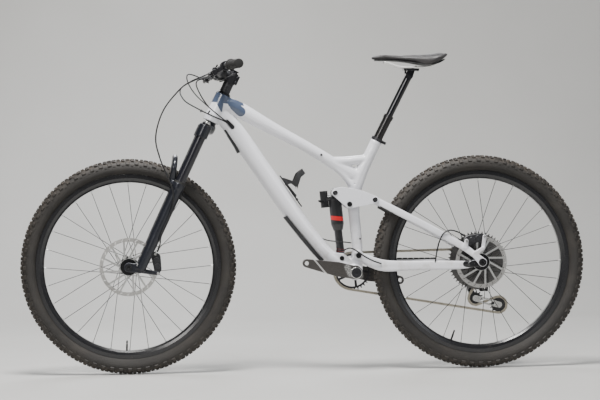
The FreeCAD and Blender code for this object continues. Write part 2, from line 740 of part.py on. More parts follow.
def stem():
    """Short stem with a four-bolt faceplate, the steerer clamp bolts and the top cap."""
    middle = (STEM_LOW + STEM_HIGH) / 2
    bar = point(BAR_CENTRE[0], 0, BAR_CENTRE[1])
    forward = fork_point(0, 1, 0) - fork_point(0, 0, 0)
    upward = fork_point(-1, 0, 0) - fork_point(0, 0, 0)
    clamp = rod(fork_point(STEM_LOW, 0, 0), fork_point(STEM_HIGH, 0, 0), 20)
    bar_clamp = rod(bar - Y_AXIS * 27, bar + Y_AXIS * 27, 23.5)
    wires = [
        oval_wire(fork_point(middle, 6, 0), Y_AXIS, upward, 17, 17, 3.5),
        oval_wire(bar - forward * 12, Y_AXIS, upward, 21, 15, 3.5),
    ]
    ears = Part.makeBox(14, 24, 32, point(0, -12, -16))
    ears.rotate(ORIGIN, Y_AXIS, STEERING_ANGLE - 90)
    ears.translate(fork_point(middle, -27, 0))
    body = fused([clamp, bar_clamp, Part.makeLoft(wires, True, True), ears])
    body = body.cut(rod(fork_point(STEM_LOW + 2, 0, 0), fork_point(STEM_HIGH - 2, 0, 0), 14.35))
    bar_bore = rod(bar - Y_AXIS * 40, bar + Y_AXIS * 40, BAR_CLAMP_RADIUS + 0.1)
    split = Part.makeBox(1.4, 80, 80, point(-0.7, -40, -40))
    split.rotate(ORIGIN, Y_AXIS, STEERING_ANGLE - 90)
    split.translate(bar + forward * 3)
    slit = Part.makeBox(24, 1.6, 80, point(-24, -0.8, -40))
    slit.rotate(ORIGIN, Y_AXIS, STEERING_ANGLE - 90)
    slit.translate(fork_point(middle, -13, 0))
    body = body.cut(bar_bore).cut(split).cut(slit)
    bolts = []
    for y in (-20, 20):
        for up in (-19.5, 19.5):
            base = bar + forward * 20 + upward * up + Y_AXIS * y
            bolts.append(rod(base, base + forward * 5, 4))
    for up in (-9, 9):
        base = fork_point(middle - up, -21, 12.2)
        bolts.append(rod(base, base + Y_AXIS * 4, 4))
    pieces = [solid for solid in body.Solids if solid.Volume > 500]
    bolts = [max(bolt.cut(body).Solids, key=lambda solid: solid.Volume) for bolt in bolts]
    cap = rod(fork_point(-196.4, 0, 0), fork_point(-200, 0, 0), 17)
    return pieces + bolts + [cap]


LEVER_PIVOT = (60.0, 26.0)


def lever_point(reach, out, rise):
    """Point by the left brake lever: reach ahead of the bar, out along it and rise above it."""
    tilt = math.radians(LEVER_TILT)
    ahead = point(math.cos(tilt), 0, math.sin(tilt))
    above = point(-math.sin(tilt), 0, math.cos(tilt))
    return bar_place(LEVER_Y) + ahead * reach + Y_AXIS * out + above * rise


def lever_block(reach, out, rise):
    """Box by the left brake lever, from (low, high) pairs along the lever's three directions."""
    outline = ((reach[0], rise[0]), (reach[1], rise[0]), (reach[1], rise[1]), (reach[0], rise[1]))
    corners = [lever_point(along, out[0], up) for along, up in outline]
    face = Part.Face(Part.makePolygon(corners + corners[:1]))
    return face.extrude(Y_AXIS * (out[1] - out[0]))


def brake_levers():
    """Clamp, master cylinder, reservoir and lever pin of each hydraulic brake lever."""
    clamp = rod(lever_point(0, -7, 0), lever_point(0, 7, 0), 16)
    neck = lever_block((8, 44), (-6, 6), (-7, 7))
    cylinder = rod(lever_point(44, -34, 0), lever_point(46, 24, 0), 10)
    reservoir = rod(lever_point(38, -26, 7), lever_point(40, 12, 7), 9.5)
    nut = rod(lever_point(44, -43, 0), lever_point(44, -33, 0), 4.6)
    ears = lever_block((46, 67), (15, 36), (-9, 9))
    gap = lever_block((52.5, 90), (10, 60), (-5, 5))
    reach, out = LEVER_PIVOT
    pin = rod(lever_point(reach, out, -8), lever_point(reach, out, 8), 1.95)
    body = fused([clamp, neck, cylinder, reservoir, nut, ears]).cut(gap)
    body = body.cut(round_loft(bar_stations(0.15)))
    return both(body.fuse(pin).removeSplitter())


def left_brake_blade():
    """Lever blade: a barrel on the pin and a curved, tapering finger bar."""
    reach, out = LEVER_PIVOT
    barrel = rod(lever_point(reach, out, -4.6), lever_point(reach, out, 4.6), 6)
    level = lever_point(0, 0, 1) - lever_point(0, 0, 0)
    spots = [lever_point(*spot) for spot in (
        (60, 28, 0), (63, 44, 0), (69, 62, 0), (70, 80, 0), (66, 98, 0), (67, 110, 0))]
    halves = ((4.4, 5.5), (4.2, 4.5), (5, 3.4), (6, 3.2), (6, 3.2), (4.5, 3.5))
    blade = bar_through(spots, halves, level)
    bore = rod(lever_point(reach, out, -9), lever_point(reach, out, 9), 2.0)
    return fused([barrel, blade]).cut(bore)


def brake_blade_left():
    return [left_brake_blade()]


def brake_blade_right():
    return [mirrored(left_brake_blade())]


POD_Y = 138.0
POD_DROP = 27.0
POD_LEAN = 15.0


def pod_point(along, behind, out):
    """Point by the right thumb pod: along its tilted axis, behind it and outboard of it."""
    lean = math.radians(POD_LEAN)
    centre = bar_place(-POD_Y) + point(-2, 0, -POD_DROP)
    axis = point(math.sin(lean), 0, math.cos(lean))
    back = point(-math.cos(lean), 0, math.sin(lean))
    return centre + axis * along + back * behind - Y_AXIS * out


def thumb_paddle(along, behind, out, half_width):
    """Flat thumb paddle that reaches from the pod's axis to a pad behind and outboard of it."""
    level = pod_point(1, 0, 0) - pod_point(0, 0, 0)
    spots = [pod_point(along, behind * share, out * share) for share in (0, 0.35, 0.75, 1)]
    halves = ((2.2, 7), (2.2, 5), (2.4, half_width), (2.4, half_width * 0.8))
    return bar_through(spots, halves, level, 3)


def pod_clamp():
    """Ring round the bar, a short neck down to the pod, and the bar's own space."""
    bar = bar_place(-POD_Y)
    ring = rod(bar - Y_AXIS * 5, bar + Y_AXIS * 5, 15.5)
    neck = rod(pod_point(0, 0, 0), bar + point(0, 0, -8), 6)
    return ring, neck, round_loft(bar_stations(0.15))


def control_pods():
    """Shifter housing under the right grip end and the dropper remote's mount under the left."""
    ring, neck, bore = pod_clamp()
    housing = rod(pod_point(-7, 0, 0), pod_point(9, 0, 0), 19)
    nose = rod(pod_point(1, -4, -12), pod_point(1, -26, -18), 5)
    pin = rod(pod_point(-14, 0, 0), pod_point(-6, 0, 0), 2.95)
    shifter = fused([ring, neck, housing, nose, pin]).cut(bore)
    small_housing = rod(pod_point(-7, 0, 0), pod_point(5, 0, 0), 9)
    remote = mirrored(fused([ring, neck, small_housing, pin]).cut(bore))
    return [shifter, remote]


def shift_paddles():
    """Thumb paddle and release trigger on the shifter's pin."""
    hub = rod(pod_point(-13, 0, 0), pod_point(-7.3, 0, 0), 9)
    long_paddle = thumb_paddle(-10.4, 34, 26, 8)
    trigger = thumb_paddle(-10.4, -6, 27, 5)
    bore = rod(pod_point(-16, 0, 0), pod_point(-5, 0, 0), 3.0)
    return [fused([hub, long_paddle, trigger]).cut(bore)]


def dropper_lever():
    """Thumb paddle that frees the seat post."""
    hub = rod(pod_point(-13, 0, 0), pod_point(-7.3, 0, 0), 8)
    bore = rod(pod_point(-16, 0, 0), pod_point(-5, 0, 0), 3.0)
    return [mirrored(fused([hub, thumb_paddle(-10.4, 30, 32, 9)]).cut(bore))]


# Paths and radii: front brake, rear brake, gear cable and dropper cable.
BAR_HOSES = (
    (((320, 121, 1032), (352, 117, 1020), (392, 112, 1003), (430, 108, 976), (486, 102, 906), (513, 97, 818),
      (500, 94, 745), (474, 92, 680), (455, 89, 620), (468, 89, 545), (497, 86, 482), (503, 73, 448),
      (508, 60, 431), (512, 54, 424)), 2.5),
    (((320, -121, 1032), (372, -116, 1018), (422, -84, 986), (412, -14, 945), (370, 34, 915), (318, 44, 888),
      (281, 37, 872), (264, 27, 863)), 2.5),
    (((322, -118, 1008), (362, -106, 1030), (396, -74, 1036), (398, -34, 1008), (376, 12, 966),
      (342, 38, 930), (300, 41, 893), (276, 35, 874), (262, 25, 862)), 2.2),
    (((296, 136, 1010), (350, 112, 1012), (372, 64, 1000), (356, 6, 962), (330, -36, 926), (300, -41, 893),
      (276, -35.5, 874), (264, -29.8, 866)), 2.2),
)


def bar_hoses():
    """Hoses and cables that leave the bar."""
    return [hose(path, radius) for path, radius in BAR_HOSES]


# ---------------------------------------------------------------- wheels
def mirrored_profile(half):
    """Closed (radius, y) outline from its half at positive y, listed from inside to outside."""
    return list(half) + [(radius, -y) for radius, y in half[::-1] if y != 0]


def tyre(axle):
    """Hollow casing with open beads; its outer radius includes the tread."""
    half_height = (TYRE_RADIUS - RIM_OUTER_RADIUS + 6) / 2
    middle = TYRE_RADIUS - half_height
    outer = turned_oval(axle, middle, half_height, TYRE_HALF_WIDTH, 2.1)
    cavity = turned_oval(axle, middle - 1.5, half_height - 4.5, TYRE_HALF_WIDTH - 3, 2.1)
    mouth = turned(((300, -11), (300, 11), (330, 11), (330, -11)), axle)
    seat = turned(mirrored_profile(RIM_SEAT), axle)
    return [outer.cut(cavity).cut(mouth).cut(seat)]


RIM_SEAT = ((289, 0), (289, 12), (304, 17.9), (RIM_OUTER_RADIUS + 0.3, 17.9), (RIM_OUTER_RADIUS + 0.3, 14.3),
            (309.8, 14.0), (305.2, 10), (304.2, 0))


def rim(axle):
    """Double-walled rim with a hole for each spoke nipple."""
    half = (
        (RIM_INNER_RADIUS, 0), (RIM_INNER_RADIUS, 9), (296, 14.8), (305, RIM_HALF_WIDTH),
        (RIM_OUTER_RADIUS, RIM_HALF_WIDTH), (RIM_OUTER_RADIUS, 14.7), (310, 14.2), (305, 9), (304, 0),
    )
    cavity = ((292.5, 0), (292.5, 8), (297.5, 12.6), (302.6, 13.4), (301.6, 0))
    body = turned(mirrored_profile(half), axle).cut(turned(mirrored_profile(cavity), axle))
    holes = []
    for index in range(SPOKE_COUNT):
        angle = 360 / SPOKE_COUNT * index
        x_in, z_in = polar(axle, RIM_INNER_RADIUS - 4, angle)
        x_out, z_out = polar(axle, 297, angle)
        holes.append(rod(point(x_in, 0, z_in), point(x_out, 0, z_out), 2.8))
    return [body.cut(Part.makeCompound(holes))]


FLANGE_HOLE_RADIUS = 28.5
CROSSINGS = 3


def spoke_places(axle, left_flange, right_flange):
    """For each spoke: its rim angle, its flange hole, the flange's y and the side it leaves from."""
    places = []
    per_side = SPOKE_COUNT // 2
    for index in range(SPOKE_COUNT):
        order = index // 2
        sweep = 1 if order % 2 else -1
        rim_angle = 360 / SPOKE_COUNT * index
        hole_angle = rim_angle + sweep * CROSSINGS * 360 / per_side
        flange = left_flange if index % 2 else right_flange
        places.append((rim_angle, polar(axle, FLANGE_HOLE_RADIUS, hole_angle), flange, sweep))
    return places


def spokes(axle, left_flange, right_flange):
    """Crossed wire spokes with an elbow at the hub, and the nipple on each rim end."""
    wires, nipples = [], []
    for rim_angle, hole, flange, sweep in spoke_places(axle, left_flange, right_flange):
        leaves_outside = sweep * flange > 0
        stand_off = 4.4 if leaves_outside else 2.8
        start = point(hole[0], flange + sweep * stand_off, hole[1])
        x, z = polar(axle, RIM_INNER_RADIUS + 1, rim_angle)
        end = point(x, 0, z)
        low, high = sorted((flange - sweep * 2.6, flange + sweep * (stand_off + 0.8)))
        wires.append(fused([rod(start, end, 1.0), cross_rod(hole, low, high, 1.25)]))
        run = (end - start).normalize()
        nipples.append(pipe(end - run * 8, end + run * 1.5, 2.0, 1.05))
    return wires + nipples


def hub_holes(axle, flange, left_flange, right_flange):
    """Bores for the spoke elbows in one hub flange."""
    holes = []
    for _, hole, y, _ in spoke_places(axle, left_flange, right_flange):
        if y == flange:
            holes.append(cross_rod(hole, y - 3, y + 3, 1.5))
    return Part.makeCompound(holes)


def hub(axle, steps, bore, left_flange, right_flange):
    """Hub shell from (y, outer radius) steps, left to right, with drilled flanges."""
    profile = [(bore, steps[0][0])]
    for (y_left, radius), (y_right, _) in zip(steps, steps[1:]):
        profile += [(radius, y_left), (radius, y_right)]
    profile.append((bore, steps[-1][0]))
    body = turned(profile, axle)
    for flange in (left_flange, right_flange):
        body = body.cut(hub_holes(axle, flange, left_flange, right_flange))
    return [body]


FRONT_FLANGES = (24.0, -35.0)
REAR_FLANGES = (34.0, -19.0)


def front_hub():
    end = FRONT_HUB_WIDTH / 2 - 0.3
    steps = ((end, 10.5), (46.4, 16.8), (43.4, 27), (37, 14), (25.2, 31.6), (22.8, 12.5), (-33.8, 31.6),
             (-36.2, 15), (-46, 10.5), (-end, 10.5))
    return hub(FRONT_AXLE, steps, 7.6, *FRONT_FLANGES)


def rear_hub():
    end = REAR_HUB_WIDTH / 2 - 0.4
    steps = ((end, 11), (59.2, 16.8), (56.4, 27), (50, 14), (35.2, 31.6), (32.8, 13), (-17.8, 31.6),
             (-20.2, 8.8), (-end, 8.8))
    return hub(REAR_AXLE, steps, 6.15, *REAR_FLANGES)


def rotor(axle, y, radius):
    """Brake rotor: a drilled track on swept arms, its carrier ring and six bolts."""
    low, high = y - ROTOR_THICKNESS / 2, y + ROTOR_THICKNESS / 2
    arm_count, track = 12, 13.0
    track_ring = cross_pipe(axle, low, high, radius, radius - track)
    carrier = cross_pipe(axle, low, high, 30, 17.1)
    arms = []
    for index in range(arm_count):
        angle = 360 / arm_count * index
        tip = polar(axle, radius - track + 1, angle + 20)
        arms.append(strap(polar(axle, 28, angle), 3.2, tip, 3.2, low, high))
    body = fused([track_ring, carrier] + arms)
    holes = [cross_rod(polar(axle, 22, 60 * step), low - 1, high + 1, 2.6) for step in range(6)]
    slots_per_turn = 24
    for index in range(slots_per_turn):
        angle = 360 / slots_per_turn * index
        inner, outer = polar(axle, radius - 9.5, angle), polar(axle, radius - 3.5, angle + 3)
        holes.append(strap(inner, 1.2, outer, 1.2, low - 1, high + 1))
    body = body.cut(Part.makeCompound(holes))
    bolts = []
    for step in range(6):
        place = polar(axle, 22, 60 * step)
        shaft = cross_rod(place, low, high, 2.5)
        bolts.append(shaft.fuse(cross_rod(place, high - 0.01, high + 2, 4.2)).removeSplitter())
    return [body] + bolts


def front_rotor():
    return rotor(FRONT_AXLE, FRONT_ROTOR_Y, FRONT_ROTOR_RADIUS)


def rear_rotor():
    return rotor(REAR_AXLE, REAR_ROTOR_Y, REAR_ROTOR_RADIUS)


def front_tyre():
    return tyre(FRONT_AXLE)


def rear_tyre():
    return tyre(REAR_AXLE)


def front_rim():
    return rim(FRONT_AXLE)


def rear_rim():
    return rim(REAR_AXLE)


def front_spokes():
    return spokes(FRONT_AXLE, *FRONT_FLANGES)


def rear_spokes():
    return spokes(REAR_AXLE, *REAR_FLANGES)


# ---------------------------------------------------------------- rear suspension
def chainstays():
    """Lower pair of stays with the pivot ears, the yoke behind the seat tube and the dropouts."""
    stations = (
        (-190, 35.2, 397, 4.8, 13), (-215, 36, 384, 5.5, 17), (-240, 38.5, 372, 5.5, 19.5),
        (-270, 42.5, 364, 6, 20), (-320, 48, 362, 7, 18), (-400, 57, 362.5, 7.5, 16.5),
        (-515, 68.5, 363, 6, 15), (-558, 74, 364.5, 4.4, 13), (-580, 77, 367, 2.7, 12),
    )
    shared = []
    ear = cross_rod(MAIN_PIVOT, 30, 40, 17)
    stay = tube(stations, 0, 3.0)
    sides = []
    for side, inner, outer in ((1, 74.2, 80.2), (-1, 74.2, 77.2)):
        dropout = strap((-574, 366), 11, REAR_AXLE, 16, inner, outer)
        for shape in (ear, stay, dropout):
            sides.append(shape if side > 0 else mirrored(shape))
    shared.append(Part.makeBox(17, 76, 30, point(-230, -38, 366)))
    body = fused(sides + shared)
    body = body.cut(cross_rod(MAIN_PIVOT, -60, 60, 7.52))
    return [body.cut(cross_rod(REAR_AXLE, -90, 90, 6.05))]


def chainstay_guard():
    """Ribbed rubber guard on top of the right chainstay, under the chain."""
    places = [(-290 - 20 * step, 382.4 - 0.27 * step) for step in range(9)]
    parts = []
    for index, (x, z) in enumerate(places):
        y = -46.5 - 0.12 * (-290 - x)
        parts.append(Part.makeBox(17, 9, 4.5, point(x - 17, y - 4.5, z)))
    backing = ((-288, -45, 383, 4.4, 1.6), (-380, -55.5, 380.6, 4.4, 1.6), (-470, -65.4, 380.0, 4.4, 1.6))
    base = tube(backing, 0, 3)
    body = fused([base] + parts)
    return [body.cut(chainstays()[0])]


def rear_axle():
    """Through axle, and the sleeves that the seatstays turn on."""
    shaft = cross_rod(REAR_AXLE, -89, 89, 6.0)
    sleeves = [cross_rod(REAR_AXLE, 80.4, 88, 9.0), cross_rod(REAR_AXLE, -88, -80.6, 9.0)]
    nuts = [hex_bolt(REAR_AXLE, 86.9, 1, 12, 4.5), hex_bolt(REAR_AXLE, -86.9, -1, 12, 4.5)]
    return [fused([shaft] + sleeves + nuts)]


HANGER_BOLT = (-622.0, 338.0)


def derailleur_hanger():
    """Replaceable plate between the right dropout and the derailleur."""
    plate = strap(REAR_AXLE, 14, HANGER_BOLT, 9, -80.3, -77.3)
    return [plate.cut(cross_rod(REAR_AXLE, -90, -60, 6.05)).cut(cross_rod(HANGER_BOLT, -90, -60, 5.0))]


def seatstays():
    """Upper pair of stays, joined by a bridge ahead of the tyre, that turn on the rear axle."""
    stations = (
        (-236, 27, 596, 4.4, 11), (-262, 28.5, 582, 4.6, 12.3), (-285, 34.5, 569.7, 5.4, 12.5),
        (-312, 41, 555.5, 6, 12.5), (-345, 46, 538, 6.5, 12.5), (-430.5, 55, 492.8, 7, 12.3),
        (-516.5, 64.5, 443.4, 6.2, 12.3), (-552, 70.5, 422, 5.6, 12), (-574, 78, 405, 4.6, 11),
        (-584, 83.4, 397, 3, 10),
    )
    stay = tube(stations, 0, 3.0)
    nose = cross_rod(SEATSTAY_PIVOT, 22.6, 31.4, 13)
    plate = chained_straps((((-584, 398), 10), (REAR_AXLE, 15)), 80.6, 86.4)
    horn = strap((-586, 402), 9, (-612, 421), 5, 80.6, 86.4)
    mount = strap(REAR_CALIPER_BOLTS[0], 7, (-552, 425), 8, 72.9, 79)
    rear_mount = strap(REAR_CALIPER_BOLTS[1], 6.5, (-613, 420), 6, 74.4, 81)
    bridge_along = 42.0
    lean = heading(SEATSTAY_PIVOT, REAR_AXLE)
    bridge = cross_rod(polar(SEATSTAY_PIVOT, bridge_along, lean), -33, 33, 6.5)
    side = fused([stay, nose, plate, horn])
    left = fused([side, mount, rear_mount])
    body = fused([left, mirrored(side), bridge])
    body = body.cut(cross_rod(REAR_AXLE, -95, 95, 9.06))
    for place in REAR_CALIPER_BOLTS:
        body = body.cut(cross_rod(place, 70, 90, 4.1))
    return [body.cut(cross_rod(REAR_AXLE, 52, 63, 92.5))]


ROCKER_TOP_RIB = (((-108, 622), 12), ((-130, 626), 12), ((-190, 614), 13), ((-238, 596), 12))


def rocker_link():
    """Rocker: two plates joined by a bridge, with a bolt in each outer end."""
    outline = [
        strap(SHOCK_UPPER_EYE, 12, ROCKER_PIVOT, 15, 32, 40),
        strap(ROCKER_PIVOT, 15, SEATSTAY_PIVOT, 13, 32, 40),
        strap(SHOCK_UPPER_EYE, 12, SEATSTAY_PIVOT, 13, 32, 40),
        outline_plate((SHOCK_UPPER_EYE, ROCKER_PIVOT, SEATSTAY_PIVOT), 32, 40),
        chained_straps(ROCKER_TOP_RIB, 32, 40),
        cross_rod(SHOCK_UPPER_EYE, 21.6, 33, 12),
    ]
    plate = fused(outline).cut(cross_rod(ROCKER_PIVOT, 0, 60, 7.52))
    bolt_places = (SHOCK_UPPER_EYE, SEATSTAY_PIVOT)
    for place in bolt_places:
        plate = plate.cut(cross_rod(place, 0, 60, 6.0))
    bridge = cross_rod((-134, 617), -33, 33, 6)
    body = fused([plate, mirrored(plate), bridge])
    bolts = []
    for place, inner in zip(bolt_places, (21.7, 32.1)):
        stub = cross_rod(place, inner, 40, 5.95)
        bolt = fused([stub, hex_bolt(place, 39.9, 1, 8.5, 2.4)])
        bolts += both(bolt.cut(plate))
    return [body] + bolts


def shock_point(along, forward=0.0, y=0.0):
    """Point a distance up the shock's axis from its lower eye."""
    lean = math.radians(heading(SHOCK_LOWER_EYE, SHOCK_UPPER_EYE))
    x = SHOCK_LOWER_EYE[0] + along * math.cos(lean) + forward * math.sin(lean)
    z = SHOCK_LOWER_EYE[1] + along * math.sin(lean) - forward * math.cos(lean)
    return point(x, y, z)


SHOCK_LENGTH = math.dist(SHOCK_LOWER_EYE, SHOCK_UPPER_EYE)


def shock_damper():
    """Lower eye and the damper body that slides inside the air can."""
    eye = cross_rod(SHOCK_LOWER_EYE, -11.8, 11.8, 12)
    body = rod(shock_point(8), shock_point(138), 13.9)
    base = Part.makeCone(11, 15.5, 12, shock_point(10), shock_point(22) - shock_point(10))
    ring = rod(shock_point(22), shock_point(30), 15.5)
    return [fused([eye, body, base, ring]).cut(cross_rod(SHOCK_LOWER_EYE, -20, 20, 5.0))]


def shock_can():
    """Air can with the upper eye and its pin, and the reservoir beside it."""
    axis = shock_point(1) - shock_point(0)
    seal = Part.makeCone(16.5, 22.5, 22, shock_point(97), axis)
    can = rod(shock_point(118), shock_point(203), 22.5)
    cap = Part.makeCone(22.5, 14, 14, shock_point(203), axis)
    eye = cross_rod(SHOCK_UPPER_EYE, -19.8, 19.8, 12)
    neck = rod(shock_point(211), shock_point(211, 36), 11)
    reservoir = rod(shock_point(180, 37), shock_point(238, 37), 14)
    body = fused([seal, can, cap, eye, neck, reservoir])
    body = body.cut(rod(shock_point(90), shock_point(125), 14.0))
    body = body.cut(rod(shock_point(124), shock_point(199), 19.5))
    body = body.cut(cross_rod(SHOCK_UPPER_EYE, -30, 30, 5.0))
    pin = cross_rod(SHOCK_UPPER_EYE, -20.4, 20.4, 4.95)
    return [body, pin]


def shock_lever():
    """Small firmness lever on the reservoir's left side."""
    spot = shock_point(196, 37)
    place = (spot.x, spot.z)
    hub = cross_rod(place, 14.3, 18.5, 6.5)
    arm = strap(place, 5, polar(place, 22, 20), 3.5, 15.5, 18.5)
    return [fused([hub, arm])]


# ---------------------------------------------------------------- drivetrain
def pitch_radius(teeth):
    return CHAIN_PITCH / (2 * math.sin(math.pi / teeth))


def chain_wheels(cage_angle):
    """Wheels in the order the chain passes them: centre, teeth, y and +1 for clockwise."""
    lower = polar(UPPER_PULLEY, CAGE_REACH, cage_angle)
    return (
        (BOTTOM_BRACKET, CHAINRING_TEETH, CHAINRING_Y, 1),
        (lower, LOWER_PULLEY_TEETH, COG_Y, 1),
        (UPPER_PULLEY, UPPER_PULLEY_TEETH, COG_Y, -1),
        (REAR_AXLE, COG_TEETH[ENGAGED_COG], COG_Y, 1),
    )


def chain_spans(cage_angle):
    """Straight spans and wraps of the chain, each with its length in chain pitches."""
    wheels = chain_wheels(cage_angle)
    count = len(wheels)
    headings = []
    for index in range(count):
        (here, teeth, _, turn), (there, next_teeth, _, next_turn) = wheels[index], wheels[(index + 1) % count]
        offset = turn * pitch_radius(teeth) - next_turn * pitch_radius(next_teeth)
        slant = math.degrees(math.asin(offset / math.dist(here, there)))
        headings.append(heading(here, there) - slant)
    spans = []
    for index in range(count):
        centre, teeth, y, turn = wheels[index]
        arrive, leave = headings[index - 1], headings[index]
        sweep = (turn * (arrive - leave)) % 360
        spans.append(("wrap", centre, teeth, y, turn, arrive, sweep, sweep * teeth / 360))
        start = polar(centre, turn * pitch_radius(teeth), leave + 90)
        after, after_teeth, after_y, after_turn = wheels[(index + 1) % count]
        end = polar(after, after_turn * pitch_radius(after_teeth), leave + 90)
        spans.append(("run", start, end, y, after_y, math.dist(start, end) / CHAIN_PITCH))
    return spans


def chain_pitches(cage_angle):
    return sum(span[-1] for span in chain_spans(cage_angle))


def closing_cage_angle():
    """Cage angle near the nominal one at which the chain closes with an even number of links."""
    target = 2 * round(chain_pitches(CAGE_ANGLE) / 2)
    low, high = CAGE_ANGLE - 25, CAGE_ANGLE + 25
    rising = chain_pitches(high) > chain_pitches(low)
    for _ in range(60):
        middle = (low + high) / 2
        if (chain_pitches(middle) < target) == rising:
            low = middle
        else:
            high = middle
    return (low + high) / 2, target


CLOSED_CAGE_ANGLE, LINK_COUNT = closing_cage_angle()
LOWER_PULLEY = polar(UPPER_PULLEY, CAGE_REACH, CLOSED_CAGE_ANGLE)


def roller_spots():
    """Centre (x, y, z) of every chain roller."""
    spots = []
    travelled = 0.0
    for span in chain_spans(CLOSED_CAGE_ANGLE):
        length = span[-1]
        for index in range(math.ceil(travelled - 1e-6), math.ceil(travelled + length - 1e-6)):
            share = (index - travelled) / length
            if span[0] == "wrap":
                _, centre, teeth, y, turn, arrive, sweep, _ = span
                x, z = polar(centre, turn * pitch_radius(teeth), arrive + 90 - turn * sweep * share)
            else:
                _, start, end, y_start, y_end, _ = span
                x = start[0] + (end[0] - start[0]) * share
                z = start[1] + (end[1] - start[1]) * share
                y = y_start + (y_end - y_start) * share
            spots.append((x, y, z))
        travelled += length
    return spots


def gullet_angle(wheel_index):
    """Angle of a gullet that holds a roller on one of the chain's wheels."""
    spans = chain_spans(CLOSED_CAGE_ANGLE)
    travelled = sum(span[-1] for span in spans[: 2 * wheel_index])
    _, _, teeth, _, turn, arrive, _, _ = spans[2 * wheel_index]
    first = math.ceil(travelled - 1e-6)
    angle = arrive + 90 - turn * (first - travelled) * 360 / teeth
    return angle if turn > 0 else angle + 180


def sprocket(centre, teeth, y, thickness, inner_radius, phase):
    """Toothed ring with round gullets; one gullet is centred on the phase angle."""
    seat, reach = 4.3, 3.4
    radius = pitch_radius(teeth)
    low, high = y - thickness / 2, y + thickness / 2
    tip_spread = math.degrees(1.1 / (radius + reach))

    def seat_spot(angle, turn):
        x, z = polar(polar(centre, radius, angle), seat, angle + turn)
        return point(x, low, z)

    def tip_spot(angle):
        x, z = polar(centre, radius + reach, angle)
        return point(x, low, z)

    edges = []
    for index in range(teeth):
        angle = phase + 360 / teeth * index
        tip = angle + 180 / teeth
        leave = seat_spot(angle, 115)
        first_tip, last_tip = tip_spot(tip - tip_spread), tip_spot(tip + tip_spread)
        edges.append(Part.Arc(seat_spot(angle, 245), seat_spot(angle, 180), leave).toShape())
        edges.append(Part.makeLine(leave, first_tip))
        edges.append(Part.makeLine(first_tip, last_tip))
        edges.append(Part.makeLine(last_tip, seat_spot(angle + 360 / teeth, 245)))
    disc = Part.Face(Part.Wire(edges)).extrude(point(0, thickness, 0))
    return disc.cut(cross_rod(centre, low - 1, high + 1, inner_radius))


def cassette():
    """Twelve sprockets with the spacer rings between them, the driver body and its lock ring."""
    thickness, core = 1.5, 17.2
    parts = []
    for index, teeth in enumerate(COG_TEETH):
        y = SMALL_COG_Y + COG_SPACING * index
        step_below = pitch_radius(COG_TEETH[index - 1]) if index else 0
        inner = max(core, step_below - 12)
        phase = gullet_angle(3) if index == ENGAGED_COG else 90
        parts.append(sprocket(REAR_AXLE, teeth, y, thickness, inner, phase))
        if index:
            outer = step_below - 5.5
            ring_low = y - COG_SPACING + thickness / 2
            ring_inner = max(core, step_below - 9) if outer > core + 1.5 else core
            if outer > ring_inner + 0.8:
                parts.append(cross_pipe(REAR_AXLE, ring_low, y - thickness / 2, outer, ring_inner))
    largest_y = SMALL_COG_Y + COG_SPACING * (len(COG_TEETH) - 1)
    hub_ring = cross_pipe(REAR_AXLE, largest_y + 0.8, largest_y + 2.6, 24, core)
    arms = [
        strap(polar(REAR_AXLE, 22, 60 * step), 4, polar(REAR_AXLE, 88, 60 * step + 25), 3.5,
              largest_y + 0.8, largest_y + 2.6)
        for step in range(6)
    ]
    rim_ring = cross_pipe(REAR_AXLE, largest_y + 0.8, largest_y + 2.6, 93, 84)
    parts.append(fused([hub_ring, rim_ring] + arms))
    parts.append(cross_pipe(REAR_AXLE, -69.5, -23.2, 16.9, 9.2))
    parts.append(cross_pipe(REAR_AXLE, -71.4, -69.7, 15.5, 9.2))
    return parts


def chain():
    """Roller chain: outer links with pins, and inner links with rollers."""
    plate_radius, pin_radius = 4.1, 1.75
    ends = ((-CHAIN_PITCH / 2, 0), (CHAIN_PITCH / 2, 0))
    inner_plate = strap(ends[0], plate_radius, ends[1], plate_radius, 1.2, 1.85)
    outer_plate = strap(ends[0], plate_radius, ends[1], plate_radius, 1.92, 2.5)
    rollers = [cross_rod(place, -1.25, 1.25, 3.85) for place in ends]
    bores = [cross_rod(place, -3, 3, pin_radius + 0.1) for place in ends]
    inner_link = fused([inner_plate, mirrored(inner_plate)] + rollers)
    for bore in bores:
        inner_link = inner_link.cut(bore)
    pins = [cross_rod(place, -2.6, 2.6, pin_radius) for place in ends]
    outer_link = fused([outer_plate, mirrored(outer_plate)] + pins)
    spots = roller_spots()
    links = []
    for index, start in enumerate(spots):
        end = spots[(index + 1) % len(spots)]
        link = (inner_link if index % 2 == 0 else outer_link).copy()
        link.rotate(ORIGIN, Y_AXIS, -heading((start[0], start[2]), (end[0], end[2])))
        link.translate((point(*start) + point(*end)) * 0.5)
        links.append(link)
    return links


def crank_arm(direction, y_low, y_high):
    """Crank arm from the spindle to the pedal eye, with its pedal thread's bore."""
    pedal = polar(BOTTOM_BRACKET, CRANK_LENGTH, direction)
    root = polar(BOTTOM_BRACKET, 66, direction)
    body = chained_straps(((BOTTOM_BRACKET, 22.5), (root, 25), (pedal, 14.5)), y_low, y_high)
    return body.cut(cross_rod(pedal, y_low - 1, y_high + 1, PEDAL_THREAD_RADIUS))


PEDAL_THREAD_RADIUS = 7.14
SPINDLE_RADIUS = 15.0
ARM_INNER, ARM_OUTER = 71.0, 85.0


def crank_left():
    """Left crank arm with the boss that clamps the spindle."""
    arm = crank_arm(CRANK_RISE, ARM_INNER, ARM_OUTER)
    boss = cross_rod(BOTTOM_BRACKET, 49.8, ARM_INNER + 1, 22)
    return [fused([arm, boss]).cut(cross_rod(BOTTOM_BRACKET, 40, 79.5, SPINDLE_RADIUS + 0.02))]


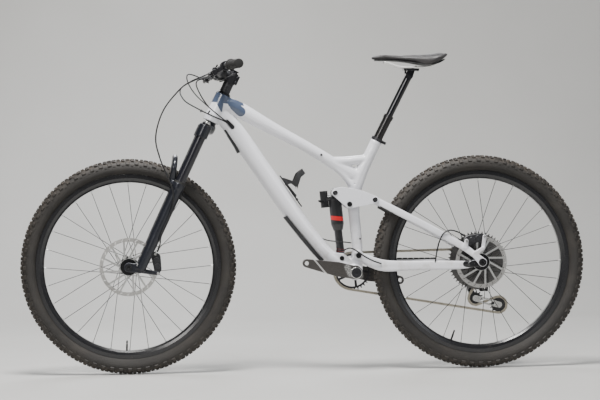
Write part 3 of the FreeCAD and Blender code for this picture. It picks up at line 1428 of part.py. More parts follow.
def crank_right():
    """Right crank arm with the hollow spindle pressed into it."""
    arm = crank_arm(CRANK_RISE + 180, -ARM_OUTER, -ARM_INNER)
    boss = cross_rod(BOTTOM_BRACKET, -ARM_INNER - 1, -54.2, 22)
    spindle = cross_rod(BOTTOM_BRACKET, -78, 79, SPINDLE_RADIUS)
    body = fused([arm, boss, spindle])
    return [body.cut(cross_rod(BOTTOM_BRACKET, -70, 90, 11.5))]


def chainring():
    """Narrow toothed ring on a five-arm spider."""
    ring = sprocket(BOTTOM_BRACKET, CHAINRING_TEETH, CHAINRING_Y, 1.9, 54, gullet_angle(0))
    low, high = CHAINRING_Y - 0.95, CHAINRING_Y + 0.95
    centre = cross_pipe(BOTTOM_BRACKET, low - 1, high + 0.4, 24, SPINDLE_RADIUS + 0.1)
    arm_count = 5
    arms = []
    for index in range(arm_count):
        angle = 360 / arm_count * index + 25
        arms.append(
            strap(polar(BOTTOM_BRACKET, 20, angle), 4.5, polar(BOTTOM_BRACKET, 56, angle + 16), 4, low, high)
        )
    return [fused([ring, centre] + arms).cut(cross_rod(BOTTOM_BRACKET, -60, -40, SPINDLE_RADIUS + 0.1))]


# ---------------------------------------------------------------- derailleur
LINK_LENGTH = 42.0
BODY_PIN_OUTER = (-643.0, -98.0)
BODY_PIN_INNER = (-635.0, -84.0)
LINK_LOW, LINK_HIGH = 269.0, 295.0


def upright(x, y, z_low, z_high, radius):
    return rod(point(x, y, z_low), point(x, y, z_high), radius)


def level_strap(place_a, radius_a, place_b, radius_b, z_low, z_high):
    """Flat plate in the XY plane wrapped round two circles."""
    plate = strap((place_a[0], -place_a[1]), radius_a, (place_b[0], -place_b[1]), radius_b, z_low, z_high)
    plate.rotate(ORIGIN, point(1, 0, 0), 90)
    return plate


def moved_pin(pin):
    """The far end of a parallelogram link whose near end is at pin."""
    return pin[0] + LINK_LENGTH, pin[1]


def derailleur_link(pin):
    """One link of the parallelogram, with a bore at each end."""
    far = moved_pin(pin)
    plate = level_strap(pin, 3.9, far, 3.9, LINK_LOW, LINK_HIGH)
    for x, y in (pin, far):
        plate = plate.cut(upright(x, y, LINK_LOW - 1, LINK_HIGH + 1, 2.55))
    return [plate]


def derailleur_outer_link():
    return derailleur_link(BODY_PIN_OUTER)


def derailleur_inner_link():
    return derailleur_link(BODY_PIN_INNER)


def knuckle_ears(pin_outer, pin_inner):
    """Ears above and below the links, with the two pins through them."""
    ears = [
        level_strap(pin_outer, 7, pin_inner, 7, LINK_LOW - 7, LINK_LOW - 0.4),
        level_strap(pin_outer, 7, pin_inner, 7, LINK_HIGH + 0.4, LINK_HIGH + 8),
    ]
    pins = [upright(x, y, LINK_LOW - 7, LINK_HIGH + 8, 2.5) for x, y in (pin_outer, pin_inner)]
    return ears + pins


def derailleur_body():
    """Fixed knuckle that bolts to the hanger."""
    boss = cross_rod(HANGER_BOLT, -96, -80.6, 11)
    bolt = cross_rod(HANGER_BOLT, -81, -76, 4.9)
    arm = chained_straps(((HANGER_BOLT, 11), ((-645, 312), 10), ((-650, 282), 7)), -100, -86)
    back = strap((-655, 303), 5, (-653, 266), 5, -100, -84)
    low, high = LINK_LOW - 0.4, LINK_HIGH + 0.4
    clear_links = level_strap(BODY_PIN_OUTER, 7.5, moved_pin(BODY_PIN_OUTER), 7.5, low, high)
    clear_inner = level_strap(BODY_PIN_INNER, 7.5, moved_pin(BODY_PIN_INNER), 7.5, low, high)
    ears = knuckle_ears(BODY_PIN_OUTER, BODY_PIN_INNER)
    solid = fused([boss, bolt, arm, back] + ears[:2]).cut(clear_links).cut(clear_inner)
    return [fused([solid] + ears[2:])]


def derailleur_knuckle():
    """Moving knuckle that carries the cage."""
    outer, inner = moved_pin(BODY_PIN_OUTER), moved_pin(BODY_PIN_INNER)
    ears = knuckle_ears(outer, inner)
    web = strap((-590, 299), 4, (-589, 266), 4, -104, -78)
    clear = [
        level_strap(pin, 7.5, moved_pin(pin), 7.5, LINK_LOW - 0.4, LINK_HIGH + 0.4)
        for pin in (BODY_PIN_OUTER, BODY_PIN_INNER)
    ]
    drop = strap((-597, 263), 9, UPPER_PULLEY, 12, -100, -78)
    drum = cross_rod(UPPER_PULLEY, -100, -60.2, 12)
    solid = fused([web, drop, drum] + ears[:2]).cut(clear[0]).cut(clear[1])
    return [fused([solid] + ears[2:])]


def derailleur_cage():
    """Two cage plates joined by the pulley bolts, on a short stub in the moving knuckle."""
    plates = []
    for inner, outer in ((COG_Y + 7.5, COG_Y + 9.5), (COG_Y - 9.5, COG_Y - 7.5)):
        low, high = sorted((inner, outer))
        plate = strap(UPPER_PULLEY, 11, LOWER_PULLEY, 11, low, high)
        near, far = polar(UPPER_PULLEY, 22, CLOSED_CAGE_ANGLE), polar(LOWER_PULLEY, -22, CLOSED_CAGE_ANGLE)
        window = strap(near, 5, far, 5, low - 1, high + 1)
        plates.append(plate.cut(window))
    bolts = [cross_rod(place, COG_Y - 10.5, COG_Y + 10.5, 2.45) for place in (UPPER_PULLEY, LOWER_PULLEY)]
    stub = cross_rod(UPPER_PULLEY, -60, COG_Y - 9, 9)
    return [fused(plates + bolts + [stub])]


def pulley(centre, teeth, phase):
    """Toothed guide pulley with its bearing hub."""
    teeth_ring = sprocket(centre, teeth, COG_Y, 1.9, 5, phase)
    hub_ring = cross_pipe(centre, COG_Y - 6.8, COG_Y + 6.8, 7, 2.5)
    return [fused([teeth_ring, hub_ring])]


def lower_pulley():
    return pulley(LOWER_PULLEY, LOWER_PULLEY_TEETH, gullet_angle(1))


def upper_pulley():
    return pulley(UPPER_PULLEY, UPPER_PULLEY_TEETH, gullet_angle(2))


# ---------------------------------------------------------------- export
NODES = (
    main_frame, frame_guards, frame_fittings, frame_bearings, pivot_bolts, bottle_cage, frame_hoses,
    dropper_outer, dropper_inner, saddle_cover, saddle_base, saddle_rails,
    fork_crown, stanchions, fork_lowers, front_axle, front_caliper,
    headset_spacers, stem, handlebar, grips, brake_levers, brake_blade_left, brake_blade_right,
    control_pods, shift_paddles, dropper_lever, bar_hoses,
    front_tyre, front_rim, front_spokes, front_hub, front_rotor,
    rear_tyre, rear_rim, rear_spokes, rear_hub, rear_rotor,
    chainstays, chainstay_guard, rear_axle, derailleur_hanger, seatstays, rear_caliper, rocker_link,
    shock_damper, shock_can, shock_lever,
    cassette, chain, crank_left, crank_right, chainring,
    derailleur_body, derailleur_outer_link, derailleur_inner_link, derailleur_knuckle, derailleur_cage,
    upper_pulley, lower_pulley,
)


def main():
    os.makedirs("parts", exist_ok=True)
    for build in NODES:
        solids = build()
        shape = solids[0] if len(solids) == 1 else Part.makeCompound(solids)
        shape.exportStep(f"parts/{build.__name__}.step")


main()
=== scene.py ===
import math

import bmesh
import bpy
import numpy as np
from mathutils import Matrix, Vector
from mathutils.bvhtree import BVHTree


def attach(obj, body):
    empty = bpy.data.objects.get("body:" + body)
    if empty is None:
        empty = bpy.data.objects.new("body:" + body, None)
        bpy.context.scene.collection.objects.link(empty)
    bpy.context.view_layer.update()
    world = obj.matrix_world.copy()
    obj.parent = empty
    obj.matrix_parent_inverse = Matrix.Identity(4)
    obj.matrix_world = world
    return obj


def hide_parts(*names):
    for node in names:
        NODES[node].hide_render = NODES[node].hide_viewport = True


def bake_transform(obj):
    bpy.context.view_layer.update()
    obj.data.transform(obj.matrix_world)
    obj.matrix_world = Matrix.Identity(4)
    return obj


# The looks of a full-suspension mountain bike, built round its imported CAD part.
# Places are written in millimetres in the part's own frame and turned into metres by mm().
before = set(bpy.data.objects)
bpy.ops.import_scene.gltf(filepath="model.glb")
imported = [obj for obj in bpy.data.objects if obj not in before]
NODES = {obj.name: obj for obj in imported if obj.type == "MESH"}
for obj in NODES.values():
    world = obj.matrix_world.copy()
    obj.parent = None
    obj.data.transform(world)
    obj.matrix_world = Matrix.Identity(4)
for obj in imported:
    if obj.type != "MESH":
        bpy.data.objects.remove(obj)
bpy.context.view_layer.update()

WHEELBASE = 1220
TYRE_RADIUS = 372
REAR_AXLE = (-WHEELBASE / 2, TYRE_RADIUS)
FRONT_AXLE = (WHEELBASE / 2, TYRE_RADIUS)
BOTTOM_BRACKET = (-171, 342)
ROCKER_BOLTS = ((-105, 618, 9), (-243.5, 592.4, 9))
STEERING = math.radians(64.8)
CROWN_RACE = (321.8, 864.7)
LEG_FORWARD = 12.5
LEG_Y = 65
SEAL_DISTANCE = 229
TREAD_PITCHES = 72
CASING_CENTRE = 340.5
CASING_HALF_RADIAL = 26.3
CASING_HALF_WIDTH = 28.6
FRONT_BOLTS = ((519, 416), (510, 350))
REAR_BOLTS = ((-556, 446), (-619, 461))
CALIPER_BOLT_RADIUS = 4.2

# The camera's place is given by a target, the direction towards the camera and the distance.
CAMERA_TARGET = (14.4, 0, 594.1)
CAMERA_ANGLES = (4.80, 0.747, -0.656)
CAMERA_DISTANCE = 7.0329
CAMERA_LENS = 121.46


# ---------------------------------------------------------------- places
def mm(x, y, z):
    return Vector((x, y, z)) * 0.001


def leg_point(down, y, forward=LEG_FORWARD):
    """Point beside the steering axis, a distance down it from the crown race."""
    x = CROWN_RACE[0] + down * math.cos(STEERING) + forward * math.sin(STEERING)
    z = CROWN_RACE[1] - down * math.sin(STEERING) + forward * math.cos(STEERING)
    return mm(x, y, z)


def around(axle, radius, degrees, y):
    """Point on a circle about the Y line through an axle."""
    turn = math.radians(degrees)
    return mm(axle[0] + radius * math.cos(turn), y, axle[1] + radius * math.sin(turn))


# ---------------------------------------------------------------- materials
class Finish:
    """A node material; values may be numbers, colours or the outputs of its nodes."""

    def __init__(self, name):
        self.material = bpy.data.materials.new(name)
        self.material.use_nodes = True
        self.tree = self.material.node_tree
        self.surface = next(n for n in self.tree.nodes if n.type == "BSDF_PRINCIPLED")
        self.place = self.tree.nodes.new("ShaderNodeTexCoord").outputs["Object"]
        self.soft_normal = None

    def feed(self, socket, value):
        if isinstance(value, bpy.types.NodeSocket):
            self.tree.links.new(value, socket)
        else:
            socket.default_value = value

    def maths(self, operation, a, b=0.0):
        node = self.tree.nodes.new("ShaderNodeMath")
        node.operation = operation
        self.feed(node.inputs[0], a)
        self.feed(node.inputs[1], b)
        return node.outputs[0]

    def vector(self, operation, a, b):
        node = self.tree.nodes.new("ShaderNodeVectorMath")
        node.operation = operation
        self.feed(node.inputs[0], a)
        self.feed(node.inputs[1], b)
        single = operation in ("DOT_PRODUCT", "LENGTH", "DISTANCE")
        return node.outputs["Value" if single else "Vector"]

    def noise(self, scale, detail=3.0, stretch=(1.0, 1.0, 1.0)):
        node = self.tree.nodes.new("ShaderNodeTexNoise")
        self.feed(node.inputs["Vector"], self.vector("MULTIPLY", self.place, stretch))
        node.inputs["Scale"].default_value = scale
        node.inputs["Detail"].default_value = detail
        return node.outputs["Fac"]

    def cells(self, scale, stretch=(1.0, 1.0, 1.0)):
        node = self.tree.nodes.new("ShaderNodeTexVoronoi")
        self.feed(node.inputs["Vector"], self.vector("MULTIPLY", self.place, stretch))
        node.inputs["Scale"].default_value = scale
        return node.outputs["Distance"]

    def step(self, value, low, high, bottom=0.0, top=1.0):
        """Smooth rise from bottom to top as value goes from low to high."""
        node = self.tree.nodes.new("ShaderNodeMapRange")
        node.interpolation_type = "SMOOTHSTEP"
        for socket, setting in zip(node.inputs[:5], (value, low, high, bottom, top)):
            self.feed(socket, setting)
        return node.outputs["Result"]

    def mix(self, share, a, b):
        node = self.tree.nodes.new("ShaderNodeMix")
        node.data_type = "RGBA"
        colours = [socket for socket in node.inputs if socket.type == "RGBA"]
        self.feed(node.inputs[0], share)
        self.feed(colours[0], a if isinstance(a, bpy.types.NodeSocket) else (*a, 1.0))
        self.feed(colours[1], b if isinstance(b, bpy.types.NodeSocket) else (*b, 1.0))
        return next(socket for socket in node.outputs if socket.type == "RGBA")

    def flat_place(self):
        """The place with its Y taken out, for marks that go straight through the bike."""
        return self.vector("MULTIPLY", self.place, (1.0, 0.0, 1.0))

    def between(self, value, low, high, softness):
        """1 while value lies between low and high."""
        rise = self.step(value, low, low + softness)
        return self.maths("MULTIPLY", rise, self.step(value, high - softness, high, 1.0, 0.0))

    def radius_from(self, axle):
        """Distance in metres from the Y line through an axle."""
        return self.vector("DISTANCE", self.flat_place(), (axle[0] * 0.001, 0.0, axle[1] * 0.001))

    def inside_circle(self, centre, radius, softness=0.3):
        """1 inside a circle in the XZ plane; the centre and sizes are in millimetres."""
        away = self.radius_from(centre)
        return self.step(away, (radius - softness) * 0.001, (radius + softness) * 0.001, 1.0, 0.0)

    def inside_bar(self, start, end, radius_start, radius_end, softness=0.4):
        """1 inside a round-ended bar drawn in the XZ plane; sizes are in millimetres."""
        a = Vector((start[0], 0, start[1])) * 0.001
        run = Vector((end[0], 0, end[1])) * 0.001 - a
        offset = self.vector("SUBTRACT", self.flat_place(), tuple(a))
        share = self.vector("DOT_PRODUCT", offset, tuple(run / run.length_squared))
        share = self.maths("MINIMUM", self.maths("MAXIMUM", share, 0.0), 1.0)
        node = self.tree.nodes.new("ShaderNodeVectorMath")
        node.operation = "SCALE"
        node.inputs[0].default_value = tuple(run)
        self.feed(node.inputs["Scale"], share)
        away = self.vector("DISTANCE", offset, node.outputs["Vector"])
        change = self.maths("MULTIPLY", share, (radius_end - radius_start) * 0.001)
        gap = self.maths("SUBTRACT", self.maths("SUBTRACT", away, change), radius_start * 0.001)
        return self.step(gap, -softness * 0.001, softness * 0.001, 1.0, 0.0)

    def any_of(self, marks):
        total = marks[0]
        for mark in marks[1:]:
            total = self.maths("MAXIMUM", total, mark)
        return total

    def soften(self, radius):
        """Rounds the look of sharp edges over a small radius in metres."""
        node = self.tree.nodes.new("ShaderNodeBevel")
        node.samples = 4
        node.inputs["Radius"].default_value = radius
        self.soft_normal = node.outputs["Normal"]

    def bump(self, height, depth):
        node = self.tree.nodes.new("ShaderNodeBump")
        node.inputs["Strength"].default_value = 1.0
        node.inputs["Distance"].default_value = depth
        self.feed(node.inputs["Height"], height)
        if self.soft_normal:
            self.feed(node.inputs["Normal"], self.soft_normal)
        self.feed(self.surface.inputs["Normal"], node.outputs["Normal"])

    def edges(self):
        """1 on worn outer edges."""
        pointed = self.tree.nodes.new("ShaderNodeNewGeometry").outputs["Pointiness"]
        return self.step(pointed, 0.53, 0.62)

    def end(self, colour, roughness, metallic=0.0, **extra):
        self.feed(self.surface.inputs["Base Color"], colour)
        self.feed(self.surface.inputs["Roughness"], roughness)
        self.feed(self.surface.inputs["Metallic"], metallic)
        for name, value in extra.items():
            self.feed(self.surface.inputs[name.replace("_", " ").title().replace("Ior", "IOR")], value)
        return self.material


def head_panels(finish):
    """1 on the coloured panels round the top of the head tube."""
    slope = finish.vector("DOT_PRODUCT", finish.place, (-0.138, 0.0, 1.0))
    ahead = finish.vector("DOT_PRODUCT", finish.place, (1.0, 0.0, -0.304))
    above = finish.step(slope, 0.8929, 0.8936)
    band = finish.maths("MULTIPLY", above, finish.step(ahead, -0.0745, -0.0738))
    drop = finish.inside_bar((240, 922), (218, 902), 16, 16.5)
    ahead_mark = finish.inside_bar((289, 930), (285, 905), 12, 3.5)
    middle_mark = finish.inside_bar((256, 935), (254, 925), 9, 6)
    return finish.any_of([band, drop, ahead_mark, middle_mark])


def painted_frame(name, panels=False, dark_circles=(), dark_bar=None):
    """Glossy cool white paint; the panels by the head tube are blue grey, and fittings are black."""
    finish = Finish(name)
    white = finish.mix(finish.noise(5, 4), (0.70, 0.705, 0.75), (0.78, 0.78, 0.815))
    flake = finish.noise(1400, 2)
    colour = finish.mix(finish.step(flake, 0.45, 0.8, 0.0, 0.25), white, (0.88, 0.88, 0.91))
    if panels:
        slate = finish.mix(flake, (0.048, 0.066, 0.110), (0.072, 0.096, 0.150))
        colour = finish.mix(head_panels(finish), colour, slate)
    # Painted reflection of the ground: brownish patches that grow towards the bottom of the frame, rougher
    # where they lie.
    height = finish.vector("DOT_PRODUCT", finish.place, (0.0, 0.0, 1.0))
    ground_reflection_share = finish.step(height, 0.62, 0.36)
    dust_and_painted_reflection = finish.maths("MULTIPLY", ground_reflection_share, finish.step(finish.noise(38, 6), 0.42, 0.75, 0.0, 0.35))
    colour = finish.mix(dust_and_painted_reflection, colour, (0.33, 0.28, 0.22))
    roughness = finish.maths("ADD", finish.maths("MULTIPLY", dust_and_painted_reflection, 0.5), 0.26)
    metallic = 0.0
    if dark_circles:
        marks = [finish.inside_circle((x, z), radius) for x, z, radius in dark_circles]
        if dark_bar:
            marks.append(finish.inside_bar(*dark_bar))
        bolts = finish.any_of(marks)
        colour = finish.mix(bolts, colour, (0.02, 0.02, 0.022))
        metallic = finish.maths("MULTIPLY", bolts, 0.6)
    finish.soften(0.0008)
    finish.bump(finish.noise(420, 2), 0.00002)
    return finish.end(colour, roughness, metallic, coat_weight=0.7, coat_roughness=0.08)


def metal(name, dark, light, roughness, metallic, stretch=(1, 1, 1), coat=0.0, wear=(0.06, 0.06, 0.064)):
    """Anodised, painted or bare metal with a fine grain, slight clouding and worn edges."""
    finish = Finish(name)
    cloud = finish.noise(14, 4)
    fine = finish.noise(1200, 3, stretch)
    colour = finish.mix(cloud, dark, light)
    colour = finish.mix(finish.maths("MULTIPLY", finish.edges(), 0.35), colour, wear)
    rough = finish.step(fine, 0.3, 0.7, roughness * 0.8, roughness * 1.25)
    finish.soften(0.0006)
    finish.bump(fine, 0.000025)
    return finish.end(colour, rough, metallic, coat_weight=coat, coat_roughness=0.1, specular_ior_level=0.4)


def plastic(name, dark, light, roughness, grain):
    """Moulded plastic or rubber with a fine leathery grain and dusty patches."""
    finish = Finish(name)
    cloud = finish.noise(20, 5)
    pebble = finish.cells(grain)
    colour = finish.mix(cloud, dark, light)
    dust_and_painted_reflection = finish.step(finish.noise(70, 6), 0.55, 0.85, 0.0, 0.35)
    colour = finish.mix(dust_and_painted_reflection, colour, (0.10, 0.088, 0.072))
    finish.soften(0.0006)
    finish.bump(pebble, 0.00008)
    rough = finish.step(cloud, 0.2, 0.8, roughness * 0.85, roughness * 1.1)
    return finish.end(colour, rough, specular_ior_level=0.35)


def tyre_rubber(name, axle):
    """Brown-black rubber: dusty tread, fine moulded lines round the sidewall."""
    finish = Finish(name)
    radius = finish.radius_from(axle)
    wave = finish.maths("SINE", finish.maths("MULTIPLY", radius, 6500.0))
    lines = finish.maths("MULTIPLY", wave, finish.step(radius, 0.350, 0.346))
    colour = finish.mix(finish.noise(30, 5), (0.016, 0.0145, 0.0135), (0.032, 0.029, 0.026))
    outer = finish.step(radius, 0.345, 0.371)
    dust_and_painted_reflection = finish.maths("MULTIPLY", outer, finish.step(finish.noise(120, 6), 0.38, 0.72, 0.0, 0.55))
    colour = finish.mix(dust_and_painted_reflection, colour, (0.13, 0.105, 0.085))
    film = finish.step(finish.noise(11, 6), 0.4, 0.8, 0.0, 0.2)
    colour = finish.mix(film, colour, (0.10, 0.085, 0.07))
    grain = finish.maths("ADD", finish.maths("MULTIPLY", lines, 0.35), finish.noise(700, 4))
    finish.bump(grain, 0.0003)
    return finish.end(colour, finish.step(dust_and_painted_reflection, 0.0, 0.6, 0.6, 0.85), specular_ior_level=0.35)


def spoke_wire(name, axle):
    """Black wire with bright nipples next to the rim."""
    finish = Finish(name)
    radius = finish.radius_from(axle)
    nipple = finish.step(radius, 0.2826, 0.2830)
    grain = finish.noise(900, 3)
    black = finish.mix(grain, (0.010, 0.010, 0.011), (0.025, 0.025, 0.027))
    bright = finish.mix(grain, (0.55, 0.55, 0.55), (0.78, 0.78, 0.77))
    finish.bump(grain, 0.00002)
    return finish.end(finish.mix(nipple, black, bright), 0.28, finish.step(nipple, 0.0, 1.0, 0.4, 1.0))


def rim_gloss(name, axle):
    """Deep gloss black with dusty patches from the brakes and fine scuffs."""
    finish = Finish(name)
    cloud = finish.noise(9, 5)
    scuff = finish.step(finish.noise(260, 5, (1, 6, 1)), 0.6, 0.78)
    colour = finish.mix(cloud, (0.006, 0.006, 0.007), (0.016, 0.016, 0.018))
    dust_and_painted_reflection = finish.step(finish.noise(60, 6), 0.55, 0.85, 0.0, 0.2)
    colour = finish.mix(dust_and_painted_reflection, colour, (0.12, 0.10, 0.085))
    finish.soften(0.0008)
    finish.bump(scuff, 0.00002)
    rough = finish.step(scuff, 0.0, 1.0, 0.25, 0.4)
    return finish.end(colour, rough, coat_weight=0.35, coat_roughness=0.12)


def rotor_steel(name, axle, track):
    """Brushed steel, ground in circles on the braking track, with dark carrier bolts."""
    finish = Finish(name)
    radius = finish.radius_from(axle)
    rings = finish.maths("SINE", finish.maths("MULTIPLY", radius, 9000.0))
    grain = finish.noise(500, 4)
    worn = finish.step(radius, track - 0.0005, track + 0.0005)
    colour = finish.mix(grain, (0.42, 0.41, 0.40), (0.62, 0.61, 0.59))
    colour = finish.mix(worn, finish.mix(grain, (0.62, 0.62, 0.61), (0.80, 0.80, 0.79)), colour)
    colour = finish.mix(finish.step(radius, 0.0286, 0.0290, 1.0, 0.0), colour, (0.035, 0.035, 0.037))
    height = finish.maths("ADD", finish.maths("MULTIPLY", rings, worn), grain)
    finish.bump(height, 0.00003)
    return finish.end(colour, finish.step(grain, 0.2, 0.8, 0.24, 0.38), 1.0)


def crank_finish(name, direction):
    """Dark grey-brown crank with a painted highlight as a bright diagonal line, and a frosted patch near its
    root.
    """
    finish = Finish(name)

    def placed(x, z):
        """A place on the left arm, or the opposite one on the right arm."""
        if direction > 0:
            return x, z
        return 2 * BOTTOM_BRACKET[0] - x, 2 * BOTTOM_BRACKET[1] - z

    weave = finish.noise(160, 4, (1.0, 1.0, 2.5))
    colour = finish.mix(weave, (0.020, 0.018, 0.017), (0.060, 0.054, 0.050))
    # Painted highlight: a bright thin diagonal line on each arm.
    painted_highlight = finish.inside_bar(placed(-22, 394), placed(-68, 338), 2.6, 2.6)
    speckle = finish.step(finish.noise(900, 3), 0.42, 0.62)
    patch = finish.inside_bar(placed(-140, 362), placed(-150, 336), 10, 9, 4.0)
    frost = finish.maths("MULTIPLY", patch, speckle)
    bright = finish.any_of([painted_highlight, frost])
    colour = finish.mix(bright, colour, (0.62, 0.62, 0.61))
    finish.bump(weave, 0.00003)
    rough = finish.step(weave, 0.3, 0.7, 0.30, 0.42)
    return finish.end(colour, rough, finish.maths("MULTIPLY", bright, 0.8), coat_weight=0.4)


def shock_finish(name, bands):
    """Satin black with coloured bands; each band is (height low, height high, colour)."""
    finish = Finish(name)
    grain = finish.noise(700, 3)
    height = finish.vector("DOT_PRODUCT", finish.place, (-0.0965, 0.0, 1.0))
    colour = finish.mix(grain, (0.010, 0.010, 0.011), (0.022, 0.022, 0.024))
    for low, high, tint in bands:
        colour = finish.mix(finish.between(height, low, high, 0.0005), colour, tint)
    finish.soften(0.0007)
    finish.bump(grain, 0.00002)
    return finish.end(colour, 0.3, 0.25, coat_weight=0.5, coat_roughness=0.12)


def stanchion_finish(top, down):
    """Smooth black slider tube with a red ring and a thin pale ring painted near its top."""
    finish = Finish("stanchion_finish")
    grain = finish.noise(900, 3)
    offset = finish.vector("SUBTRACT", finish.place, tuple(top))
    along = finish.vector("DOT_PRODUCT", offset, tuple(down))
    colour = finish.mix(grain, (0.006, 0.006, 0.009), (0.012, 0.012, 0.017))
    for low, high, tint in ((0.090, 0.0935, (0.42, 0.012, 0.016)), (0.0955, 0.0975, (0.42, 0.40, 0.39))):
        colour = finish.mix(finish.between(along, low, high, 0.0003), colour, tint)
    finish.soften(0.0006)
    finish.bump(grain, 0.00001)
    return finish.end(colour, 0.24, 0.0, coat_weight=0.2, coat_roughness=0.1)


def caliper_finish(name, places):
    """Black cast caliper with bright mounting bolts."""
    finish = Finish(name)
    grain = finish.noise(420, 4)
    colour = finish.mix(grain, (0.016, 0.016, 0.018), (0.040, 0.040, 0.044))
    bolts = finish.any_of([finish.inside_circle(place, CALIPER_BOLT_RADIUS) for place in places])
    colour = finish.mix(bolts, colour, (0.62, 0.62, 0.60))
    finish.soften(0.0005)
    finish.bump(grain, 0.00004)
    return finish.end(colour, 0.34, finish.step(bolts, 0.0, 1.0, 0.3, 1.0))


def saddle_fabric():
    """Fine-grained synthetic leather with a soft brownish sheen."""
    finish = Finish("saddle_fabric")
    pebble = finish.cells(1100)
    cloud = finish.noise(16, 4)
    colour = finish.mix(cloud, (0.016, 0.015, 0.017), (0.032, 0.029, 0.029))
    creases = finish.noise(90, 5, (1, 3, 1))
    height = finish.maths("ADD", pebble, finish.maths("MULTIPLY", creases, 0.6))
    finish.bump(height, 0.00015)
    rough = finish.step(pebble, 0.0, 0.7, 0.36, 0.5)
    return finish.end(colour, rough, sheen_weight=0.25, sheen_roughness=0.4)


def chain_steel():
    """Bare straw-coloured steel with dark oily pockets."""
    finish = Finish("chain_steel")
    grain = finish.noise(800, 3)
    tint = finish.mix(finish.noise(85, 2), (0.38, 0.35, 0.29), (0.54, 0.49, 0.40))
    oil = finish.step(finish.noise(300, 5), 0.52, 0.72, 0.0, 0.6)
    colour = finish.mix(oil, tint, (0.06, 0.055, 0.05))
    finish.bump(grain, 0.00003)
    return finish.end(colour, finish.step(grain, 0.2, 0.8, 0.25, 0.4), 1.0)


def floor_material():
    """Pale plain floor; a view from behind the backdrop sees through it."""
    finish = Finish("floor")
    colour = finish.mix(finish.noise(1.5, 5), (0.43, 0.425, 0.41), (0.50, 0.495, 0.48))
    finish.bump(finish.noise(60, 5), 0.0003)
    material = finish.end(colour, 0.75)
    nodes = material.node_tree.nodes
    links = material.node_tree.links
    facing = nodes.new("ShaderNodeNewGeometry")
    clear = nodes.new("ShaderNodeBsdfTransparent")
    chooser = nodes.new("ShaderNodeMixShader")
    output = next(node for node in nodes if node.type == "OUTPUT_MATERIAL")
    links.new(facing.outputs["Backfacing"], chooser.inputs[0])
    links.new(finish.surface.outputs[0], chooser.inputs[1])
    links.new(clear.outputs[0], chooser.inputs[2])
    links.new(chooser.outputs[0], output.inputs["Surface"])
    return material


DARK_RED = (0.20, 0.008, 0.010)
BRIGHT_RED = (0.62, 0.014, 0.016)
FRAME_WHITE = painted_frame("frame_paint", panels=True)
LOWER_STAY_WHITE = painted_frame(
    "lower_stay_paint", dark_circles=((-610, 372, 16),), dark_bar=((-553, 366.5), (-600, 364), 10.5, 15)
)
UPPER_STAY_WHITE = painted_frame("upper_stay_paint", dark_circles=((-610, 372, 13.5),))
ROCKER_WHITE = painted_frame("rocker_paint", dark_circles=ROCKER_BOLTS)
FORK_BLACK = metal("fork_black", (0.010, 0.011, 0.015), (0.020, 0.022, 0.030), 0.30, 0.35, coat=0.35)
SATIN_BLACK = metal("satin_black", (0.012, 0.012, 0.014), (0.026, 0.026, 0.030), 0.36, 0.4)
GLOSS_BLACK = metal("gloss_black", (0.008, 0.008, 0.010), (0.016, 0.016, 0.020), 0.14, 0.5, coat=0.6)
POST_GREY = metal("post_grey", (0.030, 0.029, 0.030), (0.055, 0.052, 0.052), 0.25, 0.8, stretch=(1, 1, 0.05))
BOLT_BLACK = metal("bolt_black", (0.014, 0.014, 0.015), (0.035, 0.035, 0.037), 0.32, 0.8)
BRIGHT_STEEL = metal(
    "bright_steel", (0.50, 0.50, 0.49), (0.72, 0.72, 0.70), 0.24, 1.0, wear=(0.85, 0.85, 0.84)
)
RAIL_STEEL = metal("rail_steel", (0.78, 0.78, 0.76), (0.90, 0.90, 0.88), 0.22, 0.45, wear=(0.9, 0.9, 0.9))
COG_STEEL = metal("cog_steel", (0.10, 0.10, 0.10), (0.30, 0.29, 0.28), 0.32, 1.0)
MOULDED_BLACK = plastic("moulded_black", (0.013, 0.013, 0.014), (0.030, 0.030, 0.032), 0.48, 900)
SOFT_RUBBER = plastic("soft_rubber", (0.010, 0.010, 0.010), (0.024, 0.023, 0.022), 0.7, 1400)
HOSE_BLACK = plastic("hose_black", (0.010, 0.010, 0.011), (0.020, 0.020, 0.021), 0.38, 2200)


# ---------------------------------------------------------------- mesh helpers
def add_object(name, mesh, material):
    obj = bpy.data.objects.new(name, mesh)
    bpy.context.scene.collection.objects.link(obj)
    mesh.materials.clear()
    mesh.materials.append(material)
    mesh.polygons.foreach_set("use_smooth", [True] * len(mesh.polygons))
    return obj


def mesh_object(name, corners, faces, material, body):
    """Mesh from points in millimetres, riding on a body unless body is None."""
    mesh = bpy.data.meshes.new(name)
    mesh.from_pydata([Vector(corner) * 0.001 for corner in corners], [], faces)
    shape = bmesh.new()
    shape.from_mesh(mesh)
    bmesh.ops.recalc_face_normals(shape, faces=shape.faces)
    shape.to_mesh(mesh)
    shape.free()
    obj = add_object(name, mesh, material)
    if body:
        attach(obj, body)
    return obj


def crisp(obj, degrees=35):
    """Keeps edges sharper than an angle sharp in the shading."""
    obj.data.set_sharp_from_angle(angle=math.radians(degrees))
    return obj


def coordinates(mesh):
    flat = np.empty(len(mesh.vertices) * 3)
    mesh.vertices.foreach_get("co", flat)
    return flat.reshape(-1, 3)


def set_coordinates(mesh, places):
    mesh.vertices.foreach_set("co", np.asarray(places, dtype=np.float32).ravel())
    mesh.update()


def apply_modifiers(obj):
    graph = bpy.context.evaluated_depsgraph_get()
    graph.update()
    made = bpy.data.meshes.new_from_object(obj.evaluated_get(graph))
    obj.modifiers.clear()
    obj.data = made
    made.polygons.foreach_set("use_smooth", [True] * len(made.polygons))


def remesh(obj, voxel):
    modifier = obj.modifiers.new("remesh", "REMESH")
    modifier.mode = "VOXEL"
    modifier.voxel_size = voxel
    apply_modifiers(obj)


def mesh_normals(mesh):
    flat = np.empty(len(mesh.vertices) * 3)
    mesh.vertices.foreach_get("normal", flat)
    return flat.reshape(-1, 3)


